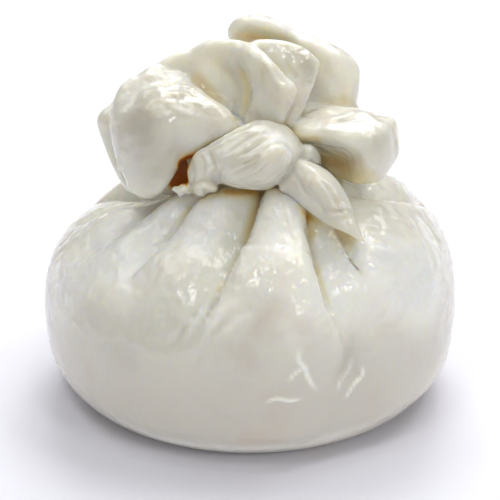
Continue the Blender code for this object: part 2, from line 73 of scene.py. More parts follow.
# From the middle of the foot to the flare above the neck: (radius, height)
OUTLINE = [
    (0.0, 0.0),
    (16.0, 0.0),
    (28.5, 0.0),
    (32.4, 0.9),
    (35.8, 3.4),
    (39.0, 8.5),
    (GIRTH_RADIUS, 15.0),
    (GIRTH_RADIUS, 20.5),
    (39.2, 25.8),
    (36.4, 31.4),
    (29.5, 36.8),
    (20.0, 40.4),
    (12.5, 43.8),
    (8.5, 46.5),
    (NECK_RADIUS, NECK_HEIGHT),
    (6.5, 54.0),
    (6.0, 56.0),
    (4.5, 57.5),
    (0.0, 58.0),
]

# Each pleat: its course as (azimuth, distance from the axis, depth), then the widths of its left and right
# flanks. The narrow flank is the lip of the fold that lies over its neighbour.
PLEATS = [
    ([(-60, 9, 3), (-70, 15, 3), (-70, 21, 2.8), (-68, 30, 2.2), (-74, 36, 0)], 4.0, 0.9),
    ([(-26, 9, 3), (-40, 14, 3.4), (-42, 20, 3), (-43, 27, 1.8), (-43, 33, 0)], 3.6, 0.9),
    ([(16, 9, 3.4), (6, 14, 4.4), (-1, 20, 4.4), (-7, 27, 3.6), (-11, 34, 2.2), (-16, 39, 0)], 3.6, 0.9),
    ([(48, 9, 2.6), (35, 17, 3.6), (28, 23, 4), (24, 30, 4), (24, 36, 3), (27, 40, 0)], 0.9, 3.8),
    ([(64, 9, 2.6), (48, 20, 2), (43, 25, 2.6), (40, 30, 2.4), (38, 35, 0)], 2.6, 1.0),
    ([(78, 9, 2.6), (66, 18, 2.4), (73, 25, 3), (84, 29, 2.6), (98, 34, 1.6), (106, 38, 0)], 0.9, 4.0),
    ([(112, 9, 2.8), (108, 18, 2.8), (112, 27, 2.2), (120, 36, 0)], 1.2, 4.0),
    ([(146, 9, 3), (140, 17, 3.8), (137, 26, 3.2), (140, 37, 0)], 4.2, 1.1),
    ([(176, 9, 3), (172, 16, 3.8), (176, 26, 3.4), (182, 38, 0)], 1.1, 4.6),
    ([(208, 9, 3), (212, 17, 3.6), (209, 27, 2.6), (205, 36, 0)], 4.2, 1.0),
    ([(240, 9, 2.8), (246, 18, 3.6), (243, 28, 2.8), (238, 38, 0)], 1.1, 4.2),
    ([(266, 9, 2.6), (268, 18, 2.8), (264, 27, 2), (262, 35, 0)], 3.6, 1.1),
]
LIP_SHARE = 0.45  # of the pleat's depth
LIP_REACH = 8.0
FULL_PLEAT_RADIUS = 22.0  # nearer to the neck the pleats get narrower, down to this share
NECK_PLEAT_SHARE = 0.3
FOOT_TOP = 2.0  # the pleats start above this height, and are full this much higher
FOOT_FADE = 6.0
BAND_FADE = 3.0  # they end over this height below the neck
SHOULDER_LENGTH = 20.0

# Broad swellings: (azimuth, distance from the axis, spread, rise)
SWELLINGS = [
    (-22, 29.0, 9.0, 1.6),
    (10, 31.0, 9.0, 2.0),
    (62, 30.0, 9.0, 1.8),
    (28, 44.0, 7.0, -1.4),
    (-58, 26.0, 7.0, 1.0),
    (-22, 14.5, 6.0, 2.8),
    (18, 15.5, 6.0, 2.2),
    (40, 17.0, 4.5, 2.8),
    (-55, 16.0, 5.0, 2.4),
    (-88, 24.0, 6.0, 1.5),
    (125, 26.0, 9.0, 1.4),
    (160, 26.0, 8.0, 1.6),
    (195, 26.0, 8.0, 1.6),
    (228, 26.0, 8.0, 1.4),
]

# ---------------- shape of the ruffle and the tie

# Each fold: its middle, its thickness behind, the edge drawn round it as (x, y, z, rounding), and the points
# that its face passes through
FOLDS = {
    "inner_lump": ((-5.4, -7.8, 56.5), 2, [
        (-7.7, -7.4, 56.7, 0.6), (-7.3, -7.4, 57.5, 0.7), (-6.3, -7.6, 57.8, 0.7),
        (-5.6, -7.8, 57.5, 0.7), (-4.5, -7.8, 57.7, 0.7), (-3.7, -8, 56.7, 0.8),
        (-5, -8.4, 55.7, 0.8), (-6.7, -8.2, 55.4, 0.8),
    ], [
        (-6.7, -9, 57.4), (-5, -9.2, 57.3),
    ]),
    "left_hood": ((-16, -2.7, 56.2), 5, [
        (-20.4, -8, 43.3, 1.5), (-22.5, -7, 44.7, 1.5), (-24.2, -5, 47.3, 1.8),
        (-25.7, -3, 50.7, 2), (-26.6, -1, 56.9, 2.5), (-24.9, 1, 61.8, 2.5), (-23.4, 2, 63.2, 2.5),
        (-20.8, 4, 64, 2.5), (-18.6, 5, 65.1, 2), (-16.2, 7.5, 65, 2), (-14.1, 8, 65.4, 2),
        (-12, 6.5, 63.9, 2), (-10, 3, 62.5, 1.5), (-8.1, -2, 62, 1.2), (-4.1, -4.5, 60.3, 1.2),
        (-2.1, -6, 57.5, 1), (-2.6, -7, 56.7, 1.2), (-7.8, -8, 54.3, 1.5), (-10.1, -8, 52.2, 1.5),
        (-12, -8, 51.4, 1.5), (-13.1, -8.5, 51.2, 1.5), (-13.5, -9, 50, 1.5), (-16, -9, 45.6, 1.5),
        (-17.9, -8.5, 43.9, 1.5),
    ], [
        (-18.8, 1.5, 64), (-18.7, -3.2, 63), (-18.6, -7.2, 61.7), (-18.6, -11, 51.8),
        (-22.5, -1, 62.2), (-22.8, -8, 52.4), (-13.6, 3, 63.8), (-14.6, -3, 63.5),
        (-15.2, -11, 54.8), (-16.2, -10.5, 50.5), (-10.8, -9.5, 57.2), (-11.6, -9, 53.9),
        (-4.1, -7.5, 59.4),
    ]),
    "crown": ((-6, 0.4, 62), 3, [
        (-20.9, 6, 62.1, 2), (-18.6, 6.5, 64.3, 2), (-13.7, 7.5, 66.8, 2), (-11.4, 7.5, 67.3, 2),
        (-7.2, 7.5, 69.4, 2), (0.2, 5, 69.5, 1.8), (6.9, -2, 65.7, 1.6), (8.6, -4, 64.7, 1.8),
        (9, -4.5, 63.5, 2), (7.3, -5.5, 60.5, 2), (6.4, -6, 57.9, 1.5), (5.6, -6, 55, 1.5),
        (0.9, -6, 54, 1.5), (-2.6, -4, 53.7, 1.5), (-7.2, -1, 55.2, 2), (-12.3, 1, 58.7, 2),
        (-17.1, 4, 60.1, 2),
    ], [
        (-13.6, 5.5, 66), (-8.5, 5, 64.6), (-8.5, 4, 61.5), (-6.1, 5.5, 65), (-3.6, 3.6, 61.1),
        (-3.2, 1.8, 58.9), (-2.6, -0.2, 57.6), (-2.3, -2.5, 56.5), (-4.7, 1.2, 58.6),
        (-0.4, 0, 63.2), (-1.1, -2.5, 58.8), (-1.3, -4, 57.2), (0, 1.5, 69.5), (1.9, -2, 68.7),
        (3.7, -5, 67.6), (5.7, -7, 66), (7, -7.8, 64.6), (1.5, -1.5, 65.9), (2.8, -4, 64.3),
        (2.2, -4.8, 61.8), (2.2, -5.5, 59.1), (4.6, -6.5, 63),
    ]),
    "second_fold": ((7.5, 1.6, 65.2), 2.5, [
        (0, 6, 69.1, 1.8), (3.8, 6.5, 69.8, 1.8), (9.1, 6, 68.9, 1.8), (12.6, 4, 67, 1.8),
        (13.1, 3.5, 65.6, 1.8), (11.3, -0.5, 61.2, 1.5), (9, -4, 57.8, 1.5), (7.7, -5, 56.6, 1.5),
        (5.3, -3, 56.1, 2), (2.8, 0, 59.1, 2), (0.9, 4, 63.6, 2),
    ], [
        (2.3, 4.5, 69.1), (5.6, 2.2, 67.4), (8.4, 0.5, 67.1), (6.6, 1, 65.5), (10.3, -1.5, 63.7),
        (8.6, -4.8, 60.2),
    ]),
    "tall_fan": ((9.6, 8.4, 62.7), 4, [
        (-4.2, 14, 67.2, 2), (-3.3, 14, 70.5, 2), (1.1, 14, 71.9, 2.2), (3.3, 13.5, 71.7, 2.2),
        (9.6, 12.5, 68.9, 2), (16.6, 10.5, 66.7, 2), (20.6, 8.5, 63.9, 2), (21, 8, 60, 1.8),
        (20.6, 7, 56.9, 1.8), (20.9, 6, 55, 2), (18.1, 3, 54.3, 2), (13.3, 1, 54.3, 2),
        (9.5, 0, 54.4, 2), (6.1, 3, 55.7, 2), (2.3, 8, 59.8, 2), (-1, 12, 64.9, 2),
    ], [
        (-1.9, 11, 70.7), (0.4, 10.5, 71.7), (2.9, 10, 71.3), (6.1, 9.5, 69.9), (9.5, 8.5, 68.6),
        (12.9, 7.5, 67.6), (16.1, 6.5, 66.4), (-1.9, 12.5, 68.2), (1, 12, 68.7), (3.4, 11.5, 68.4),
        (6.7, 10.5, 67.8), (13.7, 7.5, 64.7), (17.2, 6, 59.6), (13, 6, 58.6), (19.1, 5, 58.4),
        (18.1, 4, 56.3),
    ]),
    "right_hood": ((17.9, -2.7, 53.1), 5, [
        (10, -1, 57.3, 2), (13.3, 1, 58.1, 2), (18, 1.5, 58.2, 2.2), (22.3, 0.5, 57.7, 2),
        (24.6, 0, 57, 2), (26.7, -0.5, 56.9, 2), (27.8, -1, 55.9, 2), (28.1, -2, 54.4, 2.2),
        (28.3, -3, 51.2, 2.2), (27.6, -4, 49.5, 2.2), (25.3, -6, 46.9, 2), (23.8, -7, 46.2, 1.8),
        (21.6, -8, 46.4, 1.6), (19.2, -7.5, 46.4, 1.5), (15.8, -3, 46.1, 1.5),
        (13.9, -1, 46.9, 1.5), (13, 0, 48.7, 1.5), (11.4, -2, 51.3, 1.5), (9, -6, 54.2, 1.5),
        (7.7, -5, 56, 2), (8.7, -3, 57.4, 2),
    ], [
        (12.2, -3.5, 58), (17.8, -3, 58.6), (23.4, -5, 58.1), (25.9, -5, 57.4), (14, -8, 58),
        (11.2, -7.5, 55.5), (15.9, -8.5, 54.7), (18.2, -10, 54.8), (20.8, -11, 54.8),
        (26, -8.5, 52.3), (13.2, -4.5, 52.1), (14.4, -1.5, 49), (16.3, -2.5, 48.8),
        (17.9, -5, 49.6), (15.5, -3.5, 47.6), (18.8, -7.5, 50.1), (19.7, -8.5, 47.9),
        (20.9, -11, 51.8),
    ]),
    "left_under_flap": ((-23.9, 1.8, 51), 4, [
        (-25.2, 5, 58.4, 1.5), (-26.7, 4.5, 57.1, 1.5), (-28.2, 4, 56.3, 1.5),
        (-29.1, 3.5, 54.9, 1.8), (-29, 3, 53, 1.8), (-26.5, 0, 47, 1), (-24.1, -2, 42.9, 1),
        (-22.5, -3, 42.1, 1), (-21, -2, 42.3, 1.5), (-19.1, 1, 47.2, 2), (-17.2, 3, 52.6, 2),
        (-19.1, 5, 56.9, 2),
    ], [
        (-27.3, 1, 55.6), (-26.3, 0, 50.8), (-23.2, -1, 50.2),
    ]),
}

# Hoods at the back: azimuth, reach, height of the top, half width, height of the tip, sweep of the tip
BACK_HOODS = {
    "back_right_hood": (124, 24.5, 57.5, 8.0, 43.5, -10),
    "back_hood": (168, 27.0, 61.0, 10.5, 42.0, 8),
    "back_left_hood": (221, 26.5, 59.5, 9.5, 44.5, 14),
}

# Curd that fills the ruffle's hollows behind the folds. A row is a place along it, from the middle out: its
# left and right edges, then its bulge in front of the line between them and behind it.
LININGS = {
    "left_lining": [
        ((-5, 6, 46), (-5, -4, 46), 5, 5),
        ((-13, 7, 46), (-12, -3, 45), 6, 6),
        ((-19, 6, 45), (-17, -2, 43), 4, 5),
        ((-22, 4, 43), (-20, -1, 42), 2, 3),
    ],
}

BAND_HEIGHT = 50.0
BAND_DISTANCE = 10.5
BAND_HALF_WIDTH = 3.6
BAND_BULGE = 2.2
BAND_WAVE = 0.8
TIE_FOLDS = {
    "fray_tip": ((-13.1, -11.7, 47), 1.5, [
        (-14.7, -11.5, 46.8, 0.6), (-14.2, -11.5, 47.7, 0.6), (-13.5, -11.5, 47.6, 0.6),
        (-12.7, -11.5, 48.2, 0.8), (-11.6, -11.8, 48.2, 0.8), (-10.8, -12, 47.3, 0.8),
        (-11.2, -12, 46.1, 0.7), (-12.1, -12, 46.3, 0.6), (-13.1, -11.8, 45.5, 0.6),
        (-13.8, -11.6, 46.3, 0.5),
    ], [
        (-13.8, -12.6, 47.4), (-12.8, -13.4, 47.8), (-11.7, -13.2, 47.9),
    ]),
    "fray_end": ((-8.8, -12.1, 47.7), 3, [
        (-11, -11.5, 47.5, 1.2), (-10.6, -11.5, 48.7, 1.2), (-9.3, -11.5, 49.3, 1.2),
        (-7.8, -11.8, 49.5, 1.2), (-6.7, -12, 48.7, 1.2), (-5.8, -12.3, 47.6, 0.9),
        (-6.7, -12.6, 46.8, 1), (-7.8, -12.6, 47, 1), (-8.6, -12.6, 45.9, 1),
        (-9.7, -12.4, 45.9, 1), (-10.7, -12, 46.5, 1),
    ], [
        (-9.4, -15.6, 49.4), (-8, -15.8, 49.7), (-6.9, -14.6, 48.8),
    ]),
    "knot": ((-0.9, -10.3, 52.9), 5, [
        (-11.6, -10, 50.9, 1.5), (-11.6, -11, 49.1, 1.5), (-11, -11.5, 47.5, 1.5),
        (-8, -12.5, 46.7, 1.5), (-6.9, -12.5, 47.5, 1.2), (-6.2, -12, 48.5, 1),
        (-1.5, -13, 47.8, 1.8), (4.1, -13, 48, 1.8), (8.9, -10.5, 52, 1.5), (10.1, -9, 53.1, 1.5),
        (9.9, -8, 54.5, 1.5), (7.6, -7.5, 57.5, 1.5), (5.6, -7.5, 58.6, 1.5),
        (0.7, -7.5, 59.2, 1.5), (-8.4, -9.5, 54.8, 1.2), (-10.2, -10, 53.8, 1.2),
    ], [
        (-9.8, -14, 50.5), (-7, -15, 52.2), (-4.1, -16.5, 51.9), (-0.9, -16, 56.8),
        (-0.4, -17, 51.3), (2.8, -17.5, 52.2), (5.5, -12, 58.8), (6.2, -16.5, 55.4),
    ]),
    "tail": ((12.6, -16.1, 48.7), 2.2, [
        (9.1, -11, 52.8, 1.6), (11.2, -11, 52.5, 1.8), (15.1, -12.5, 50.8, 2.2),
        (17.8, -15.5, 47.9, 2), (19.4, -18.5, 44.7, 1.6), (20.6, -21.5, 42.5, 0.8),
        (21.2, -22.5, 41.3, 0.7), (17.3, -21.5, 43.1, 1.2), (13.3, -18.5, 43.8, 1.8),
        (7.2, -15, 47.3, 1.8), (5.4, -14, 48.5, 1.4), (7.8, -12, 51.6, 1.2),
    ], [
        (8.5, -15.6, 49.6), (11.6, -16.2, 51.6), (16, -19.2, 47.9),
    ]),
    "loop": ((11.4, -8, 52.6), 2, [
        (9.9, -8, 54.3, 1.2), (10.8, -8, 54.7, 1.2), (12, -7.5, 54.1, 1.2), (12.9, -7, 52.6, 1.2),
        (13.3, -7, 51.4, 1.2), (13.1, -8, 50.6, 1.2), (11.6, -9, 51.3, 1.2),
        (10.1, -9.5, 52.1, 1.2),
    ], [
        (11, -10, 54), (11.9, -9.5, 52.7),
    ]),
}
SECTION_POWER = 0.8
END_FULLNESS = 4.0
PLATE_SLACK = 0.15  # how far a fold's face may stay off the points of its form

# Which way the curd of each part of the tie is pulled, in degrees above the level as seen from the front
TIE_PULLS = {"fray_tip": -15, "fray_end": 80, "knot": 18, "tail": -38, "loop": 70}
RADIATING_WIDTH = 14.0
STRAND_SHIFT = 31.0  # sets the strands of one fold apart from those of the next

LEAN_SIN = math.sin(math.radians(VIEW_ELEVATION))
LEAN_COS = math.cos(math.radians(VIEW_ELEVATION))

# Wrinkles as seen from the camera: width, rise, and places across and up from the aim
STROKES = [
    # The pouch: the ridges and valleys of its petals
    (3.5, 0.7, [(-11.7, 9.1), (-15.9, 6.8), (-21.4, 3.5), (-27.2, -1)]),
    (5, 0.7, [(-4.3, 8.7), (-8.7, 4.3), (-13.6, -1), (-17.5, -6.8)]),
    (5.5, 0.6, [(6.4, 9.7), (5.8, 3.9), (4.9, -2.9), (4.9, -8.7)]),
    (3.6, 1.1, [(17.1, 1.4), (19.8, -1.9), (23.3, -5.8), (26.8, -9.7)]),
    (3, -0.5, [(12.4, 4.7), (14.2, -1.6), (16.3, -7.8), (19.4, -14.6), (21.8, -19.4)]),
    (1.8, -0.8, [(17.5, 3.5), (18.8, 1.2), (20.4, -1)]),
    (2.2, -0.7, [(19, -17.9), (20, -21.4), (21.8, -24.9)]),
    (0.8, 0.6, [(16.9, -14), (17.9, -15.9), (18.6, -17.5)]),
    (1.2, 0.5, [(-2.5, -0.6), (-1.4, -0.2), (-0.2, 0)]),
    # Wrinkles at the foot of the left valley
    (0.5, -0.35, [(-8.2, -9.3), (-10.5, -12), (-12.8, -15.1), (-14.6, -18.4)]),
    (0.5, 0.28, [(-7.4, -8.9), (-9.1, -11.7), (-11.3, -14.8), (-13, -17.5)]),
    (0.5, -0.3, [(-6.8, -9.7), (-8.4, -12.6), (-10.3, -15.5)]),
    (0.6, 0.25, [(-5.4, -9.7), (-6.6, -12.6), (-8.5, -15.5)]),
    (0.7, -0.3, [(-3.5, -11.3), (-5.4, -14), (-7.4, -16.5)]),
    (0.6, 0.25, [(-0.6, -12.6), (-3.5, -14.2), (-5.8, -16.3), (-8, -18.1)]),
    (0.9, -0.2, [(-1.6, -13.6), (-7.4, -17.9), (-11.1, -23.3), (-10.1, -28.7), (-2.9, -32.6), (6.8, -30.1)]),
    # Ripples on the petals
    (0.6, 0.25, [(-8.7, 5.4), (-7, 6), (-4.9, 5.8)]),
    (0.6, 0.2, [(-8.4, 3.3), (-7.2, 4.1), (-5.8, 3.7)]),
    (0.6, 0.2, [(-11.3, 1.6), (-9.7, 2.1), (-8.2, 1.9)]),
    (0.5, 0.22, [(22.7, 4.9), (24.9, 4.3), (27.2, 4.1)]),
    (0.5, 0.22, [(23.7, 3.5), (26.4, 2.5), (29.1, 1.4)]),
    (0.5, -0.2, [(22.9, 2.7), (25.6, 1.6), (28.7, 0.4)]),
    (0.5, 0.22, [(24.5, 0.6), (27.2, -0.2), (29.5, -1.4)]),
    (0.5, 0.22, [(21.8, -1.9), (24.5, -3.1), (27.6, -3.9)]),
    (0.5, -0.2, [(22.3, -1), (25.2, -1.7), (28.4, -2.7)]),
    (0.5, 0.2, [(2.3, 7.4), (3.5, 6.8), (4.3, 5.6)]),
    (0.5, 0.2, [(3.9, 8.4), (5.2, 7.6), (5.8, 6.2)]),
    (0.5, 0.2, [(5.8, 7.6), (7, 7), (7.6, 5.6)]),
    (0.5, 0.2, [(2.7, 5), (4.1, 4.5), (4.7, 3.1)]),
    (0.5, 0.2, [(5.2, 5.4), (6.4, 4.7), (6.6, 3.3)]),
    (0.5, -0.2, [(4.5, 7), (5.6, 5.8), (6, 4.7)]),
    (0.5, 0.2, [(-5.4, 7), (-4.3, 7.4), (-3.3, 6.8)]),
    # The knot
    (0.35, -0.4, [(-9.3, 19.2), (-6, 21.4), (-2.5, 23.1), (0.4, 24.3)]),
    (0.35, 0.3, [(-8.2, 19), (-5.4, 20.6), (-2.3, 22.3), (0.4, 23.5)]),
    (0.35, -0.45, [(-5, 18.3), (-2.7, 20.2), (-0.2, 21.9), (2.7, 23.3)]),
    (0.4, 0.3, [(-3.7, 17.9), (-1.7, 19.4), (0.6, 21.2), (3.5, 22.5)]),
    (0.35, -0.45, [(-2.3, 18.3), (0, 19.6), (2.3, 21.2), (5, 22.1)]),
    (0.35, 0.35, [(-1.9, 17.5), (-0.6, 18.1), (0.8, 18.4)]),
    (0.3, -0.35, [(-1.9, 16.7), (-0.2, 17.3), (1.7, 18.4)]),
    (0.35, -0.3, [(2.3, 19.2), (4.3, 20.4), (6.6, 21)]),
    (0.35, -0.35, [(5.2, 21), (7.6, 20), (8.9, 18.3)]),
    (0.35, 0.25, [(4.3, 20.4), (6.2, 19.2), (7.4, 17.5)]),
    (0.3, -0.3, [(-0.8, 14), (1.6, 15.1), (3.5, 16.9)]),
    (0.3, -0.25, [(-3.5, 14.4), (-1, 15.9), (1.2, 17.1)]),
    (0.3, 0.25, [(-2.3, 13.8), (0, 14.8), (2.3, 16.1)]),
    (0.35, -0.3, [(0.4, 12.6), (3.1, 13.4), (5.2, 15)]),
    (0.6, -0.6, [(-8.5, 19.4), (-7.6, 17.9), (-7, 15.9), (-7.2, 13.4)]),
    (0.35, -0.35, [(-9.7, 18.6), (-8.9, 16.7), (-8.9, 14)]),
    (0.35, 0.3, [(-10.5, 17.5), (-9.9, 15.5), (-10.1, 13.2)]),
    (0.3, -0.3, [(-11.3, 17.1), (-10.9, 15.1), (-11.3, 12.8)]),
    (0.3, -0.3, [(-6.2, 12.8), (-6, 14.8), (-5, 16.7)]),
    (0.35, -0.4, [(-12, 12), (-11.3, 11.1), (-10.9, 10.1)]),
    (0.35, -0.4, [(-9.1, 12), (-8.7, 11.1), (-8.9, 9.9)]),
    # The tail of the strip
    (0.4, -0.25, [(8, 15.9), (9.7, 13.2), (10.9, 10.5)]),
    (0.4, -0.25, [(13.2, 14), (15.9, 10.9), (17.9, 7), (19.4, 3.9)]),
    (0.4, 0.2, [(12, 14.4), (14.8, 11.3), (16.7, 7.8)]),
    (0.4, -0.2, [(9.7, 12.4), (12.4, 9.7), (15.5, 6.6)]),
    (0.35, 0.2, [(15.5, 12.8), (17.7, 9.7), (19, 6.6)]),
    (0.4, 0.3, [(14.8, 9.1), (16.9, 8.4), (19.2, 8.7)]),
    (0.4, -0.3, [(14.6, 8.4), (16.7, 7.6), (19.4, 8)]),
    (0.4, 0.3, [(14.4, 7.4), (16.5, 6.8), (18.8, 7.2)]),
    (0.35, -0.25, [(11.3, 12), (13.2, 9.9), (14.4, 7.4)]),
    # The left hood
    (0.6, 0.2, [(-17.9, 29.9), (-15.5, 30.3), (-13.2, 30.1)]),
    (0.6, 0.2, [(-19.8, 28.5), (-18.3, 29.1), (-16.5, 29.3)]),
    (0.6, -0.2, [(-17.5, 29.1), (-15.1, 29.5), (-12.4, 29.1)]),
    (0.5, 0.2, [(-15.9, 31.5), (-14.6, 31.8), (-13, 31.7)]),
    (0.5, 0.2, [(-14.4, 30.1), (-12.8, 30.3), (-11.5, 29.7)]),
    (0.5, 0.2, [(-11.7, 28.5), (-9.9, 28.5), (-8.5, 27.6)]),
    (0.5, 0.2, [(-21.4, 29.1), (-20.2, 30.3), (-18.6, 30.9)]),
    (0.5, 0.2, [(-12.8, 31.8), (-11.3, 31.3), (-9.7, 30.3)]),
    (0.5, -0.15, [(-15.9, 25.1), (-13.6, 25.8), (-10.9, 25.4)]),
    (0.9, -0.35, [(-21.4, 31.5), (-19, 32.6), (-16.5, 33), (-14, 32.6)]),
    (0.5, 0.25, [(-22.1, 33), (-20.2, 33.8), (-18.3, 34)]),
    (0.7, 0.9, [(-25.1, 32), (-24.1, 33), (-23.1, 33.4)]),
    (0.45, 0.4, [(-25.8, 19), (-25.2, 15.9), (-24.1, 13.2), (-22.5, 11.1)]),
    # The crown and the fold behind it
    (2.2, -0.9, [(-12.8, 35), (-9.7, 32.2), (-6.8, 29.9), (-4.3, 27.8), (-2.3, 25.4)]),
    (1, -0.55, [(-3.1, 36.1), (-1.6, 34), (-0.6, 31.5), (-0.8, 28.4), (-1.7, 25.2)]),
    (1.1, 0.35, [(-0.8, 36.9), (0.8, 33.8), (1.4, 30.3), (1, 26.8)]),
    (0.5, -0.4, [(6.6, 36.9), (7.8, 34.8), (9.1, 33)]),
    (0.6, -0.4, [(12.4, 33), (10.9, 32.6), (9.7, 31.7)]),
    (0.6, -0.3, [(-0.8, 29.5), (-1.4, 27.2), (-1.6, 25.1)]),
    (0.5, -0.25, [(1.2, 27.6), (1.6, 25.8), (1.6, 24.5)]),
    # The right hood
    (0.7, 0.4, [(15.1, 25.2), (17.7, 25.6), (20.6, 26.6)]),
    (0.7, -0.4, [(16.1, 24.3), (18.4, 25.1), (20.8, 25.4)]),
    (0.8, -0.3, [(27.4, 24.5), (28.2, 21.4), (28.2, 18.3)]),
]

# Edges of the film of whey on the front: width, rise, how much a painted highlight whitens them, and the
# course
FILM_EDGES = [
    (0.5, 0.45, 1, [(9.7, -19.4), (9.5, -21.4), (10.7, -22.9), (11.5, -25.2), (13.2, -27.6)]),
    (0.45, 0.35, 0.9, [(7.4, -25.6), (8.7, -24.1), (10.3, -22.9)]),
    (0.45, 0.35, 0.9, [(2.7, -29.9), (5, -28.9), (7.8, -29.3), (10.3, -28.7)]),
    (0.5, 0.4, 1, [(16.9, -27.6), (17.7, -25.2), (19.2, -23.3), (19.8, -21)]),
    (0.45, 0.35, 0.9, [(18.3, -29.1), (19.8, -26.8), (21, -24.5)]),
    (0.45, 0.35, 0.9, [(20.6, -26), (21.8, -24.3), (21.9, -22.5)]),
]

# Painted shade drawn the same way: width, depth of shade, and the course. That of the hollows keeps to
# sheltered curd.
HOLLOW_SHADE_STROKES = [
    (2.2, 1.3, [(-12.6, 18.3), (-12.6, 16.9), (-12.8, 15.5), (-13.2, 13.6)]),
    (2, 1.3, [(-11.7, 17.5), (-11.8, 15.5), (-12.2, 13.6)]),
    (1.8, 1.2, [(-14.4, 14), (-14, 12.8), (-12.8, 12.2)]),
    (1.4, 0.3, [(-6.2, 11.5), (-1.9, 11.3), (2.3, 11.5)]),
    (2, 0.15, [(13.4, 19), (14.6, 17.9), (15.9, 16.9)]),
]
CREASE_SHADE_STROKES = [
    # Painted shade in the valleys between the petals
    (1, 0.2, [(1.2, 8.9), (0.2, 5.8), (-1.2, 1.9)]),
    (1, 0.2, [(-5, -6.4), (-7, -8.9)]),
    (1, 0.2, [(-8, 9.7), (-12.4, 7.2), (-15.9, 4.3)]),
    (1.2, 0.25, [(10.1, 7.4), (11.3, 5), (12.2, 1.9)]),
    (0.8, 0.25, [(12.8, -2.3), (14, -6.8), (15.9, -11.7)]),
    # Painted shade under the knot and the strip
    (2, 0.2, [(-6.2, 11.3), (-1.9, 11.1), (2.3, 11.3)]),
    (2.4, 0.3, [(17.1, 3.7), (18.6, 2.9), (20.2, 2.3)]),
    (0.8, 0.3, [(7.4, 9.7), (10.5, 7.2), (14.4, 4.7)]),
    # Painted shade in the folds of the ruffle
    (1.8, 0.36, [(-11.7, 34.6), (-9.7, 32.2), (-7.4, 30.1), (-4.9, 28.4)]),
    (1.4, 0.25, [(-4.7, 27.6), (-3.3, 26), (-2.3, 24.9)]),
    (1.2, 0.4, [(-2.9, 36.1), (-1.6, 34), (-0.6, 31.5), (-0.8, 28.4), (-1.7, 25.2)]),
    (3, 0.15, [(-19.4, 33), (-15.5, 32.2), (-11.7, 30.7)]),
    (2, 0.3, [(14, 28.7), (17.1, 28.5), (20.2, 29.1)]),
    (1.2, 0.35, [(-1.9, 41.4), (1.2, 41.2), (4.3, 40.6)]),
    (1, 0.25, [(7.4, 25.6), (6.6, 24.1), (8.2, 23.3)]),
    # Painted shade inside the right hood
    (3, 0.15, [(14, 19), (16.1, 17.5), (18.4, 15.9)]),
    (5, 0.36, [(18.4, 15.9), (20.6, 14.8), (22.5, 14.4)]),
    (2, 0.25, [(10.3, 24.9), (11.5, 23.1), (13.2, 21.4)]),
]

